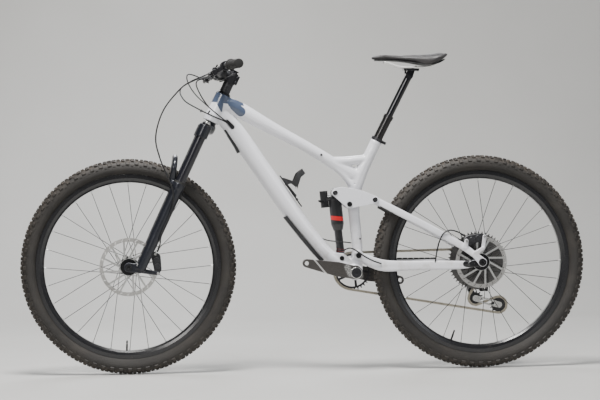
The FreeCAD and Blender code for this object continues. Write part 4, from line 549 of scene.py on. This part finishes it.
def neighbour_pull(obj):
    """Function that gives, for the mesh's points, the way from each to the middle of its neighbours."""
    ends = np.empty(len(obj.data.edges) * 2, dtype=np.int64)
    obj.data.edges.foreach_get("vertices", ends)
    ends = ends.reshape(-1, 2)
    count = len(obj.data.vertices)
    degree = np.maximum(np.bincount(ends.ravel(), minlength=count), 1)[:, None]

    def pull(places):
        total = np.empty_like(places)
        for axis in range(3):
            total[:, axis] = np.bincount(ends[:, 0], places[ends[:, 1], axis], count)
            total[:, axis] += np.bincount(ends[:, 1], places[ends[:, 0], axis], count)
        return total / degree - places

    return pull


def relax(obj, rounds):
    """Evens out a mesh and rounds its edges without thinning it."""
    pull = neighbour_pull(obj)
    places = coordinates(obj.data)
    for _ in range(rounds):
        places = places + pull(places) * 0.5
        places = places - pull(places) * 0.52
    set_coordinates(obj.data, places)


def fill_corners(obj, place, reach, rounds):
    """Fills the inner corners near a place; nothing moves inwards."""
    pull = neighbour_pull(obj)
    away = np.linalg.norm(coordinates(obj.data) - np.array(mm(*place)), axis=1)
    weights = np.clip((reach * 0.001 - away) / (reach * 0.0004), 0.0, 1.0)
    for _ in range(rounds):
        places = coordinates(obj.data)
        normals = mesh_normals(obj.data)
        move = pull(places)
        outwards = np.einsum("ij,ij->i", move, normals)
        slide = move - outwards[:, None] * normals
        move = slide + np.maximum(outwards, 0.0)[:, None] * normals
        set_coordinates(obj.data, places + move * 0.5 * weights[:, None])


def largest_shell(obj):
    """Removes loose inner shells, such as the walls of closed hollows."""
    shape = bmesh.new()
    shape.from_mesh(obj.data)
    shape.verts.ensure_lookup_table()
    seen, shells = set(), []
    for start in shape.verts:
        if start in seen:
            continue
        shell, waiting = [], [start]
        seen.add(start)
        while waiting:
            vertex = waiting.pop()
            shell.append(vertex)
            for edge in vertex.link_edges:
                other = edge.other_vert(vertex)
                if other not in seen:
                    seen.add(other)
                    waiting.append(other)
        shells.append(shell)
    shells.sort(key=len)
    spare = [vertex for shell in shells[:-1] for vertex in shell]
    bmesh.ops.delete(shape, geom=spare, context="VERTS")
    shape.to_mesh(obj.data)
    shape.free()


def cast(name, nodes, voxel, rounds, material, body, blends=(), cores=(), single=True, keep=1.0):
    """Piece with rounded edges made from CAD nodes.

    Blends are (place, reach, rounds) of soft joints; cores are (start, end, radius) rods in thin tubes.
    """
    shape = bmesh.new()
    for node in nodes:
        shape.from_mesh(NODES[node].data)
    bmesh.ops.remove_doubles(shape, verts=shape.verts, dist=1e-6)
    for start, end, radius in cores:
        run = mm(*end) - mm(*start)
        turn = run.to_track_quat("Z", "Y").to_matrix().to_4x4()
        place = Matrix.Translation((mm(*start) + mm(*end)) / 2) @ turn
        bmesh.ops.create_cone(
            shape, cap_ends=True, segments=48, radius1=radius * 0.001, radius2=radius * 0.001,
            depth=run.length, matrix=place,
        )
    mesh = bpy.data.meshes.new(name)
    shape.to_mesh(mesh)
    shape.free()
    obj = add_object(name, mesh, material)
    remesh(obj, voxel * 0.001)
    if single:
        largest_shell(obj)
    for place, reach, extra in blends:
        fill_corners(obj, place, reach, extra)
    relax(obj, rounds)
    if keep < 1.0:
        modifier = obj.modifiers.new("fewer", "DECIMATE")
        modifier.ratio = keep
        apply_modifiers(obj)
    obj.data.materials.clear()
    obj.data.materials.append(material)
    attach(obj, body)
    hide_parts(*nodes)
    return obj


def curve_points(points, steps):
    """Smooth path through points, with a number of steps per span."""
    spots = [Vector(point) for point in points]
    path = []
    for index in range(len(spots) - 1):
        before, start = spots[max(index - 1, 0)], spots[index]
        end, after = spots[index + 1], spots[min(index + 2, len(spots) - 1)]
        for step in range(steps):
            t = step / steps
            path.append(
                0.5 * (2 * start + (end - before) * t + (2 * before - 5 * start + 4 * end - after) * t**2
                       + (3 * start - before - 3 * end + after) * t**3)
            )
    return path + [spots[-1]]


def rings_to_faces(ring_count, segments, closed=False):
    faces = []
    for ring in range(ring_count if closed else ring_count - 1):
        below, above = ring * segments, (ring + 1) % ring_count * segments
        for step in range(segments):
            after = (step + 1) % segments
            faces.append((below + step, below + after, above + after, above + step))
    if not closed:
        faces.append(tuple(range(segments))[::-1])
        faces.append(tuple(range((ring_count - 1) * segments, ring_count * segments)))
    return faces


def circle_corners(centre, side, up, radius, segments):
    turns = [2 * math.pi * step / segments for step in range(segments)]
    return [centre + (side * math.cos(turn) + up * math.sin(turn)) * radius for turn in turns]


def pipe_mesh(name, path, radii, material, body, segments=12):
    """Round bar along a path in millimetres; radii is one radius or one for each point."""
    if not isinstance(radii, (list, tuple)):
        radii = [radii] * len(path)
    corners = []
    side = None
    for index, spot in enumerate(path):
        run = (path[min(index + 1, len(path) - 1)] - path[max(index - 1, 0)]).normalized()
        if side is None:
            side = run.orthogonal().normalized()
        side = (side - run * side.dot(run)).normalized()
        corners += circle_corners(spot, side, run.cross(side), radii[index], segments)
    return mesh_object(name, corners, rings_to_faces(len(path), segments), material, body)


def lathe(name, origin, direction, stations, material, body, segments=40):
    """Turned piece: stations are (distance along direction, radius) in millimetres."""
    along = Vector(direction).normalized()
    side = along.orthogonal().normalized()
    corners = []
    for distance, radius in stations:
        spot = Vector(origin) + along * distance
        corners += circle_corners(spot, side, along.cross(side), max(radius, 0.05), segments)
    obj = mesh_object(name, corners, rings_to_faces(len(stations), segments), material, body)
    return crisp(obj, 40)


def socket_bolt(name, place, outwards, radius, height, material, body):
    """Domed bolt head with a hexagonal socket; its flat side is at place."""
    centre = Vector(place)
    rings = ((radius, 0), (radius, height * 0.7), (radius * 0.85, height), (radius * 0.55, height),
             (radius * 0.5, height * 0.35))
    corners = []
    for index, (ring_radius, rise) in enumerate(rings):
        for step in range(24):
            turn = 2 * math.pi * step / 24
            reach = ring_radius
            if index >= 3:
                reach *= math.cos(math.pi / 6) / math.cos((turn % (math.pi / 3)) - math.pi / 6)
            offset = Vector((reach * math.cos(turn), outwards * rise, reach * math.sin(turn)))
            corners.append(centre + offset)
    return crisp(mesh_object(name, corners, rings_to_faces(len(rings), 24), material, body), 30)


# ---------------------------------------------------------------- frame and stays
def build_frame():
    """Frame, stays and rocker, with their rubber and plastic guards."""
    cast(
        "frame_tubes", ["main_frame"], 2.2, 3, FRAME_WHITE, "frame",
        blends=(
            ((-165, 0, 690), 75, 20), ((262, 0, 905), 62, 20),
            ((-110, 0, 372), 62, 14), ((-95, 0, 735), 60, 10),
        ),
        cores=(((-253, 0, 792), (-180, 0, 650), 17.6),),
        keep=0.55,
    )
    cast("lower_stays", ["chainstays"], 1.5, 5, LOWER_STAY_WHITE, "swingarm", keep=0.5)
    cast("upper_stays", ["seatstays"], 1.5, 5, UPPER_STAY_WHITE, "seatstay_link", keep=0.5)
    cast("rocker", ["rocker_link"], 0.9, 3, ROCKER_WHITE, "rocker", single=False, keep=0.5)
    cast("frame_pads", ["frame_guards"], 1.3, 4, MOULDED_BLACK, "frame",
         single=False, keep=0.6)
    cast("bottle_holder", ["bottle_cage"], 1.0, 3, MOULDED_BLACK, "frame", keep=0.6)
    cast("stay_pad", ["chainstay_guard"], 0.9, 2, SOFT_RUBBER, "swingarm", keep=0.7)
    for side, word in ((1, "left"), (-1, "right")):
        pad = [(-262, side * 31, 566), (-286, side * 36.5, 553), (-306, side * 41, 543)]
        pipe_mesh(f"bridge_pad_{word}", curve_points(pad, 5), 5, SOFT_RUBBER, "seatstay_link")


def build_hoses():
    """Hoses and cables as tubes along listed points; most ride no body, a few short pieces and the hose ends
    ride one body each.
    """
    front = (
        (320, 121, 1032), (352, 117, 1020), (392, 112, 1003), (430, 108, 976), (486, 102, 906),
        (513, 97, 818), (500, 94, 745), (474, 92, 680), (455, 89, 620), (468, 89, 545), (497, 86, 482),
        (503, 73, 448), (508, 60, 431), (512, 54, 424),
    )
    rear = (
        (320, -121, 1032), (372, -116, 1018), (422, -84, 986), (412, -14, 945), (370, 34, 915),
        (318, 44, 888), (281, 37, 872), (264, 27, 863),
    )
    gear = (
        (322, -118, 1008), (362, -106, 1030), (396, -74, 1036), (398, -34, 1008), (376, 12, 966),
        (342, 38, 930), (300, 41, 893), (276, 35, 874), (262, 25, 862),
    )
    post = (
        (296, 136, 1010), (350, 112, 1012), (372, 64, 1000), (356, 6, 962), (330, -36, 926), (300, -41, 893),
        (276, -35.5, 874), (264, -29.8, 866),
    )

    def piece(name, points, radius, body=None):
        return pipe_mesh(name, curve_points(points, 8), radius, HOSE_BLACK, body)

    front_hose = piece("front_brake_hose", front, 2.5)
    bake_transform(front_hose)
    for name, points, radius in (
        ("rear_brake_hose", rear, 2.5), ("gear_cable", gear, 2.2), ("post_cable", post, 2.2),
    ):
        obj = piece(name, points, radius)
        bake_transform(obj)
    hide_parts("bar_hoses")
    link = piece("stay_brake_hose", (
        (-132, 30.5, 418), (-160, 44, 425), (-205, 50.6, 396), (-236, 50.8, 380), (-262, 50.5, 371)), 2.5)
    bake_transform(link)
    dropper = piece("post_cable_end", (
        (-62, 6, 459), (-80, 18, 453), (-112, 32, 449), (-142, 20, 446), (-161.5, 4, 443)), 2.2, "frame")
    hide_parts("frame_hoses")
    tail = piece("caliper_hose", (
        (-447, 66, 372), (-450, 68, 392), (-455, 69, 420), (-464, 70, 450), (-478, 70, 474), (-500, 69, 484),
        (-526, 68, 478), (-548, 66, 466)), 2.5)
    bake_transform(tail)
    piece("derailleur_cable", (
        (-560, -80.5, 362), (-600, -88, 350), (-640, -96, 352), (-664, -100, 336), (-664, -98, 314),
        (-654, -95, 302)), 2.2, "swingarm")
    for name, point, aim, body, slot in (
        ("front_hose_end", (505, 66, 440), (0.3, -0.8, -0.5), "fork_lower_legs", "bright_steel"),
        ("tail_hose_end", (-540, 66.5, 470), (-0.85, -0.15, -0.5), "seatstay_link", "bright_steel"),
    ):
        sleeve = ((0, 2.7), (0.4, 3.6), (9, 3.6), (9.4, 3.0), (12, 2.9))
        lathe(name, point, aim, sleeve, BOLT_BLACK, body, 16)
    for index, (x, y, z) in enumerate(((357, 31, 907), (330, 45, 903))):
        collar = ((0, 4.2), (0.5, 5.4), (4.5, 5.4), (5, 4.2))
        clip = lathe(f"cable_clip_{index}", (x, y, z), (-0.7, 0.1, -0.45), collar, MOULDED_BLACK, None,
                     20)
        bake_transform(clip)


# ---------------------------------------------------------------- fork and cockpit
def build_fork():
    cast("fork_legs", ["fork_lowers"], 1.7, 4, FORK_BLACK, "fork_lower_legs",
         blends=[(tuple(leg_point(246, side * LEG_Y, 20) * 1000), 34, 8) for side in (1, -1)], keep=0.5)
    cast("fork_head", ["fork_crown"], 1.5, 5, FORK_BLACK, "steering", keep=0.5)
    down = leg_point(1, 0) - leg_point(0, 0)
    step = down * 1000
    for side, word in ((1, "left"), (-1, "right")):
        top = leg_point(0, side * LEG_Y) * 1000
        lathe(
            f"fork_seal_{word}", top + step * SEAL_DISTANCE, down,
            ((0, 18.0), (0.6, 19.4), (2.5, 19.9), (3.2, 19.0), (4.2, 20.8), (7.4, 21.6), (8.2, 21.0)),
            SOFT_RUBBER, "fork_lower_legs", 48,
        )
        foot = leg_point(560, side * 69.5) * 1000
        foot_profile = ((0, 12), (1.5, 11.4), (3.0, 9.5), (3.2, 7), (6.5, 6.6), (7.2, 5.6))
        lathe(f"leg_foot_{word}", foot, down, foot_profile, BOLT_BLACK, "fork_lower_legs",
              24)
    dial = [(0, 13.4), (1.2, 14.2), (3.0, 14.2), (3.4, 10.4), (8.6, 10.0), (9.6, 9.0), (9.8, 0.5)]
    for name, side, material, slot in (
        ("fork_adjuster", 1, BRIGHT_STEEL, "bright_steel"),
        ("fork_air_cap", -1, BOLT_BLACK, "satin_black_metal"),
    ):
        lathe(name, leg_point(11, side * LEG_Y) * 1000, -down, dial, material, "steering", 30)
    socket_bolt("axle_pinch_bolt", (579, 78.9, 380), 1, 4.6, 2.6, BRIGHT_STEEL, "fork_lower_legs")
    paint_node("stanchions", stanchion_finish(leg_point(0, LEG_Y), down))


def grip(side, word):
    """Ribbed rubber grip with a metal lock ring at its inner end."""
    inner = Vector((261.9, side * 262, 1052.05))
    outer = Vector((243.07, side * 389, 1049.01))
    length = (outer - inner).length + 5
    stations = [(0.4, 11.3), (0.4, 18.6), (1.4, 19.4), (3.8, 19.4), (5.0, 18.2), (6.0, 15.2)]
    rib_count = 20
    rib_start, rib_end = 14.0, length - 8.0
    pitch = (rib_end - rib_start) / rib_count
    for rib in range(rib_count):
        base = rib_start + pitch * rib
        high = 15.9 if rib % 5 else 15.3
        stations += [(base, 14.6), (base + pitch * 0.2, high), (base + pitch * 0.65, high)]
        stations.append((base + pitch * 0.85, 14.6))
    stations += [(length - 7, 15.6), (length - 2.5, 15.6), (length - 0.6, 14.4)]
    stations += [(length, 12.0), (length + 0.1, 0.2)]
    obj = lathe(f"grip_{word}", inner, outer - inner, stations, SOFT_RUBBER, "steering", 64)
    ring = ((-8.5, 11.3), (-8.5, 15.0), (-7.9, 15.8), (-0.6, 15.8), (0.0, 15.0), (0.0, 11.3))
    lathe(f"grip_lock_{word}", inner, outer - inner, ring, BOLT_BLACK, "steering", 40)
    return obj


def build_cockpit():
    for name, node, voxel, rounds, material in (
        ("stem_body", "stem", 1.0, 3, SATIN_BLACK), ("lever_bodies", "brake_levers", 0.9, 4, SATIN_BLACK),
        ("pods", "control_pods", 0.9, 4, MOULDED_BLACK),
    ):
        cast(name, [node], voxel, rounds, material, "steering", single=False, keep=0.5)
    for word in ("left", "right"):
        cast(f"blade_{word}", [f"brake_blade_{word}"], 0.7, 4, BOLT_BLACK, f"{word}_brake_blade")
    cast("paddles", ["shift_paddles"], 0.7, 3, MOULDED_BLACK, "shift_thumb_paddles")
    cast("post_paddle", ["dropper_lever"], 0.7, 3, MOULDED_BLACK, "dropper_thumb_lever")
    grips = [grip(1, "left"), grip(-1, "right")]
    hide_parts("grips")


# ---------------------------------------------------------------- saddle
def inflate(obj, pressure, limit):
    """Lets the pad's skin puff up by cloth simulation, then limits how far each point went."""
    rest = coordinates(obj.data)
    cloth = obj.modifiers.new("cloth", "CLOTH")
    cloth.settings.quality = 6
    cloth.settings.mass = 0.3
    cloth.settings.tension_stiffness = 25
    cloth.settings.compression_stiffness = 25
    cloth.settings.use_pressure = True
    cloth.settings.uniform_pressure_force = pressure
    cloth.settings.effector_weights.gravity = 0
    cloth.point_cache.frame_start = 1
    cloth.point_cache.frame_end = 20
    for step in range(1, 21):
        bpy.context.scene.frame_set(step)
    apply_modifiers(obj)
    bpy.context.scene.frame_set(1)
    shift = coordinates(obj.data) - rest
    length = np.linalg.norm(shift, axis=1, keepdims=True)
    shift *= np.minimum(1.0, limit / np.maximum(length, 1e-9))
    shift[:, 2] = np.maximum(shift[:, 2], -0.0008)
    set_coordinates(obj.data, rest + shift)


def pad_half_width(x):
    """Half width of the saddle in metres at a place along it in metres."""
    along = (-0.504, -0.492, -0.465, -0.430, -0.395, -0.350, -0.300, -0.250, -0.236)
    return float(np.interp(x, along, (0.038, 0.062, 0.069, 0.058, 0.041, 0.026, 0.021, 0.017, 0.009)))


def shape_pad(pad):
    """Lowers the skirts of the rear wings, then presses the long channel into the top."""
    places = coordinates(pad.data)
    x, y, z = places.T
    beside_rails = np.clip((np.abs(y) - 0.027) / 0.010, 0.0, 1.0)
    wing = np.exp(-(((x + 0.432) / 0.038) ** 2))
    low_share = np.clip((1.085 - z) / 0.022, 0.0, 1.0)
    places[:, 2] -= 0.0085 * beside_rails * wing * low_share
    set_coordinates(pad.data, places)
    upwards = np.clip(mesh_normals(pad.data)[:, 2] * 1.6 - 0.3, 0.0, 1.0)
    x, y = places[:, 0], places[:, 1]
    window = np.clip((x + 0.482) / 0.03, 0, 1) * np.clip((-0.262 - x) / 0.04, 0, 1)
    places[:, 2] -= 0.0042 * upwards * window * np.exp(-((y / 0.0085) ** 2))
    set_coordinates(pad.data, places)


def build_stitches(word, spots):
    """Row of short raised stitches beside a seam, one between each two spots along it."""
    corners, faces = [], []
    for start, end in zip(spots, spots[1:]):
        middle = start.lerp(end, 0.5) + Vector((0, -0.02 * start.y, 0.1))
        run = (end - start) * 0.3
        across = Vector((0, 0, 1)).cross(run).normalized() * 0.45
        base = len(corners)
        outline = (-run - across, run - across, run + across, -run + across)
        corners += [middle + offset - Vector((0, 0, 0.5)) for offset in outline]
        corners += [middle + offset * 0.8 + Vector((0, 0, 0.4)) for offset in outline]
        faces += [(base, base + 3, base + 2, base + 1), (base + 4, base + 5, base + 6, base + 7)]
        for edge in range(4):
            after = (edge + 1) % 4
            faces.append((base + edge, base + after, base + 4 + after, base + 4 + edge))
    mesh_object(f"saddle_stitches_{word}", corners, faces, HOSE_BLACK, "dropper_post")


def build_saddle():
    """Padded cover puffed up by cloth simulation, its seams and stitches, and the shell below it."""
    shape = bmesh.new()
    shape.from_mesh(NODES["saddle_cover"].data)
    bmesh.ops.remove_doubles(shape, verts=shape.verts, dist=1e-6)
    mesh = bpy.data.meshes.new("saddle_pad")
    shape.to_mesh(mesh)
    shape.free()
    fabric = saddle_fabric()
    pad = add_object("saddle_pad", mesh, fabric)
    remesh(pad, 0.0045)
    relax(pad, 2)
    set_coordinates(pad.data, coordinates(pad.data) - mesh_normals(pad.data) * 0.0008)
    inflate(pad, 4.0, 0.005)
    relax(pad, 2)
    shape_pad(pad)
    subdivide = pad.modifiers.new("finer", "SUBSURF")
    subdivide.levels = subdivide.render_levels = 1
    apply_modifiers(pad)
    pad.data.materials.clear()
    pad.data.materials.append(fabric)
    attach(pad, "dropper_post")
    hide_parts("saddle_cover")
    tree = BVHTree.FromPolygons([v.co for v in pad.data.vertices], [p.vertices for p in pad.data.polygons])

    def on_pad(x_place, share):
        start = Vector((x_place, pad_half_width(x_place) * share, 1.2))
        hit = tree.ray_cast(start, Vector((0, 0, -1)))[0]
        return None if hit is None else hit * 1000

    for share, word in ((0.80, "left"), (-0.80, "right")):
        spots = [on_pad(-0.250 - 0.006 * step, share) for step in range(40)]
        spots = [spot for spot in spots if spot is not None]
        seam = curve_points(spots, 2)
        pipe_mesh(f"saddle_seam_{word}", seam, 0.7, fabric, "dropper_post", 8)
        build_stitches(word, spots)
    cast("saddle_shell", ["saddle_base"], 1.6, 3, MOULDED_BLACK, "dropper_post", keep=0.6)


# ---------------------------------------------------------------- wheels
def casing_spot(angle, half_radial=CASING_HALF_RADIAL, half_width=CASING_HALF_WIDTH, centre=CASING_CENTRE):
    """(radius, y) on the tyre's oval section; angle 0 is the crown."""
    across = math.copysign(abs(math.sin(angle)) ** (2 / 2.1), math.sin(angle))
    rise = math.copysign(abs(math.cos(angle)) ** (2 / 2.1), math.cos(angle))
    return centre + half_radial * rise, half_width * across


def tread_block(corners, faces, axle, wheel_angle, section_angle, length, width, height, skew=0.0):
    """Adds one tread block, standing on the casing, to a growing mesh."""
    radius, y = casing_spot(section_angle)
    near = casing_spot(section_angle + 0.02)
    lean = math.atan2(near[1] - y, radius - near[0])
    turn = math.radians(wheel_angle)
    out = Vector((math.cos(turn), 0, math.sin(turn)))
    forward = Vector((-math.sin(turn), 0, math.cos(turn)))
    side = Vector((0, 1, 0))
    across = side * math.sin(lean) - out * math.cos(lean)
    if lean > math.pi / 2 or lean < -math.pi / 2 or math.sin(lean) < 0:
        across = -across
    normal = forward.cross(across)
    middle = Vector((axle[0], 0, axle[1])) + out * radius + side * y
    if normal.dot(out * radius * 0.001 + side * y) < 0:
        normal = -normal
    base = len(corners)
    for depth, scale in ((-1.4, 1.16), (height * 0.72, 1.0), (height, 0.84)):
        for a, b in ((-1, -1), (1, -1), (1, 1), (-1, 1)):
            shift = forward * (a * length / 2 + b * skew) * scale + across * (b * width / 2) * scale
            corners.append(middle + shift + normal * depth)
    for ring in (base, base + 4):
        for edge in range(4):
            after = (edge + 1) % 4
            faces.append((ring + edge, ring + after, ring + 4 + after, ring + 4 + edge))
    faces.append((base + 8, base + 9, base + 10, base + 11))
    faces.append((base + 3, base + 2, base + 1, base))


def build_tyre(axle, word):
    """Hollow casing that opens towards the rim, with four rows of tread blocks on each half."""
    segments = 240
    limit = math.radians(148)
    outer = [casing_spot(limit * (step / 20 - 1)) for step in range(41)]
    inner = [casing_spot(limit * (1 - step / 12), 23.0, 25.4, 340.0) for step in range(25)]
    profile = outer + inner
    corners = []
    for index in range(segments):
        for radius, y in profile:
            corners.append(around(axle, radius, 360 / segments * index, y) * 1000)
    faces = rings_to_faces(segments, len(profile), closed=True)
    material = tyre_rubber(f"tyre_rubber_{word}", axle)
    body = f"{word}_wheel"
    casing = mesh_object(f"{word}_tyre_casing", corners, faces, material, body)
    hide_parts(f"{word}_tyre")
    corners, faces = [], []
    pitch = 360 / TREAD_PITCHES
    for index in range(TREAD_PITCHES):
        long_block = index % 2 == 0
        for sign in (-1, 1):
            angle = index * pitch + (0.0 if sign > 0 else pitch * 0.5)
            half_on = angle + pitch * 0.5
            centre_length = 13 if long_block else 10
            shoulder_width = 11.0 if long_block else 9.0
            tread_block(corners, faces, axle, angle, sign * 0.19, centre_length, 8.0, 4.7, sign * 1.0)
            tread_block(corners, faces, axle, half_on, sign * 0.58, 9.0, 8.0, 4.4, sign * 1.5)
            tread_block(corners, faces, axle, angle, sign * 1.02, 12.0, shoulder_width, 3.4)
            tread_block(corners, faces, axle, half_on, sign * 1.33, 7.0, 4.0, 1.3)
    tread = mesh_object(f"{word}_tyre_tread", corners, faces, material, body)
    crisp(tread, 25)


def build_valve(axle, word, degrees):
    out = Vector((math.cos(math.radians(degrees)), 0, math.sin(math.radians(degrees))))
    start = Vector((axle[0], 0, axle[1])) + out * 292
    stations = (
        (0, 5.5), (-2.5, 5.5), (-3, 3.2), (-24, 3.2), (-24.3, 2.2), (-27, 2.2), (-27.2, 3.0),
        (-35, 2.8), (-37, 1.6),
    )
    lathe(f"{word}_valve", start, out, stations, BOLT_BLACK, f"{word}_wheel", 20)


def build_wheels():
    for axle, word, degrees, track in ((FRONT_AXLE, "front", -88, 0.087), (REAR_AXLE, "rear", -70, 0.077)):
        build_tyre(axle, word)
        build_valve(axle, word, degrees)
        paint_node(f"{word}_rim", rim_gloss(f"rim_gloss_{word}", axle))
        paint_node(f"{word}_spokes", spoke_wire(f"spoke_wire_{word}", axle))
        paint_node(f"{word}_hub", SATIN_BLACK)
        paint_node(f"{word}_rotor", rotor_steel(f"rotor_steel_{word}", axle, track))
    for word, places, bolt_y, body in (
        ("front", FRONT_BOLTS, 67.6, "fork_lower_legs"), ("rear", REAR_BOLTS, 82.6, "seatstay_link"),
    ):
        cast(f"{word}_caliper_body", [f"{word}_caliper"], 0.8, 3, caliper_finish(f"caliper_{word}", places),
             body, single=False, keep=0.5)
        for index, (x, z) in enumerate(places):
            socket_bolt(f"{word}_caliper_bolt_{index}", (x, bolt_y, z), 1, 4.6, 3.2, BRIGHT_STEEL, body)


# ---------------------------------------------------------------- drivetrain
def build_drivetrain():
    for outwards, word in ((1, "left"), (-1, "right")):
        cast(f"crank_arm_{word}", [f"crank_{word}"], 1.2, 7, crank_finish(f"crank_finish_{word}", outwards),
             "crankset", keep=0.6)
    for outwards, word in ((1, "left"), (-1, "right")):
        x, z = BOTTOM_BRACKET
        ring = ((0, 19.8), (0.9, 19.8), (1.3, 19.3), (1.3, 17.9))
        lathe(f"crank_ring_{word}", (x, outwards * 84.6, z), (0, outwards, 0), ring, BRIGHT_STEEL,
              "crankset", 48)
        cap = ((0, 17.4), (2.0, 17.4), (2.9, 16.6), (3.0, 6.4), (2.0, 5.8), (2.0, 0.3))
        lathe(f"crank_cap_{word}", (x, outwards * 84, z), (0, outwards, 0), cap, SATIN_BLACK,
              "crankset", 48)
    for name, node, body in (
        ("derailleur_mount", "derailleur_body", "swingarm"),
        ("derailleur_arm", "derailleur_knuckle", "derailleur_moving_knuckle"),
    ):
        cast(name, [node], 0.9, 3, SATIN_BLACK, body, keep=0.6)
    socket_bolt("dropout_bolt", (-585, 80.6, 366), 1, 4.0, 1.8, BOLT_BLACK, "swingarm")


def paint_node(node, material):
    data = NODES[node].data
    data.materials.clear()
    data.materials.append(material)


def paint_nodes():
    """Finishes of the CAD pieces that are shown as they are."""
    damper_bands = ((0.4250, 0.4270, DARK_RED), (0.4330, 0.4345, DARK_RED))
    can_bands = ((0.5325, 0.5475, BRIGHT_RED),)
    for node, material in (
        ("frame_fittings", SATIN_BLACK), ("frame_bearings", BOLT_BLACK), ("pivot_bolts", BOLT_BLACK),
        ("dropper_outer", POST_GREY), ("dropper_inner", GLOSS_BLACK), ("saddle_rails", RAIL_STEEL),
        ("front_axle", BOLT_BLACK), ("headset_spacers", SATIN_BLACK), ("handlebar", SATIN_BLACK),
        ("rear_axle", BOLT_BLACK), ("derailleur_hanger", BRIGHT_STEEL),
        ("shock_damper", shock_finish("shock_damper_finish", damper_bands)),
        ("shock_can", shock_finish("shock_can_finish", can_bands)),
        ("shock_lever", BOLT_BLACK), ("cassette", COG_STEEL), ("chain", chain_steel()),
        ("chainring", SATIN_BLACK), ("derailleur_outer_link", SATIN_BLACK),
        ("derailleur_inner_link", SATIN_BLACK), ("derailleur_cage", BRIGHT_STEEL),
        ("upper_pulley", MOULDED_BLACK), ("lower_pulley", MOULDED_BLACK),
    ):
        paint_node(node, material)


# ---------------------------------------------------------------- stage
def build_floor():
    """Pale floor that curves up into a backdrop on the far side."""
    bend_start, bend_radius = -2.4, 1.6
    profile = [(9.0, 0.0), (3.0, 0.0), (0.0, 0.0), (bend_start, 0.0)]
    for step in range(1, 10):
        turn = math.radians(10 * step)
        profile.append((bend_start - bend_radius * math.sin(turn), bend_radius * (1 - math.cos(turn))))
    profile.append((bend_start - bend_radius, 7.0))
    corners, faces = [], []
    for x in (-9.0, 9.0):
        corners += [Vector((x, y, z)) for y, z in profile]
    count = len(profile)
    for index in range(count - 1):
        faces.append((index, index + 1, count + index + 1, count + index))
    mesh = bpy.data.meshes.new("studio_floor")
    mesh.from_pydata(corners, [], faces)
    floor = add_object("studio_floor", mesh, floor_material())


def area_light(name, place, aim, size, power, colour):
    light = bpy.data.lights.new(name, "AREA")
    light.shape = "DISK"
    light.size = size
    light.energy = power
    light.color = colour
    obj = bpy.data.objects.new(name, light)
    obj.location = place
    obj.rotation_euler = (Vector(aim) - Vector(place)).to_track_quat("-Z", "Y").to_euler()
    bpy.context.scene.collection.objects.link(obj)


def build_lights():
    """Four soft lights and a dim sky; the camera sees a paler sky than the one that lights."""
    area_light("top_light", (0.6, 1.3, 4.6), (0, 0, 0.5), 1.6, 430, (1.0, 0.99, 0.97))
    area_light("front_light", (2.6, 5.0, 3.0), (0, 0, 0.5), 1.8, 110, (1.0, 0.98, 0.95))
    area_light("rear_light", (-3.6, 3.2, 2.2), (-0.3, 0, 0.5), 2.2, 50, (0.93, 0.96, 1.0))
    area_light("far_light", (0.5, -3.0, 3.2), (0, 0, 0.6), 2.5, 110, (0.95, 0.97, 1.0))
    world = bpy.data.worlds.new("studio")
    world.use_nodes = True
    nodes = world.node_tree.nodes
    links = world.node_tree.links
    sky = nodes["Background"]
    sky.inputs["Color"].default_value = (0.80, 0.84, 0.90, 1)
    seen = nodes.new("ShaderNodeMapRange")
    seen.inputs["To Min"].default_value = 0.13
    seen.inputs["To Max"].default_value = 0.50
    links.new(nodes.new("ShaderNodeLightPath").outputs["Is Camera Ray"], seen.inputs["Value"])
    links.new(seen.outputs["Result"], sky.inputs["Strength"])
    bpy.context.scene.world = world


def build_camera():
    azimuth, elevation, roll = (math.radians(angle) for angle in CAMERA_ANGLES)
    level = Vector((math.sin(azimuth), math.cos(azimuth), 0))
    towards = level * math.cos(elevation) + Vector((0, 0, math.sin(elevation)))
    place = mm(*CAMERA_TARGET) + towards * CAMERA_DISTANCE
    right = (-towards).cross(Vector((0, 0, 1))).normalized()
    up = right.cross(-towards)
    rolled_right = right * math.cos(roll) + up * math.sin(roll)
    rolled_up = up * math.cos(roll) - right * math.sin(roll)
    data = bpy.data.cameras.new("camera")
    data.sensor_width = 36
    data.lens = CAMERA_LENS
    camera = bpy.data.objects.new("camera", data)
    turn = Matrix((rolled_right, rolled_up, towards)).transposed()
    camera.matrix_world = Matrix.Translation(place) @ turn.to_4x4()
    bpy.context.scene.collection.objects.link(camera)
    bpy.context.scene.camera = camera


build_frame()
build_hoses()
build_fork()
build_cockpit()
build_saddle()
build_wheels()
build_drivetrain()
paint_nodes()
build_floor()
build_lights()
build_camera()
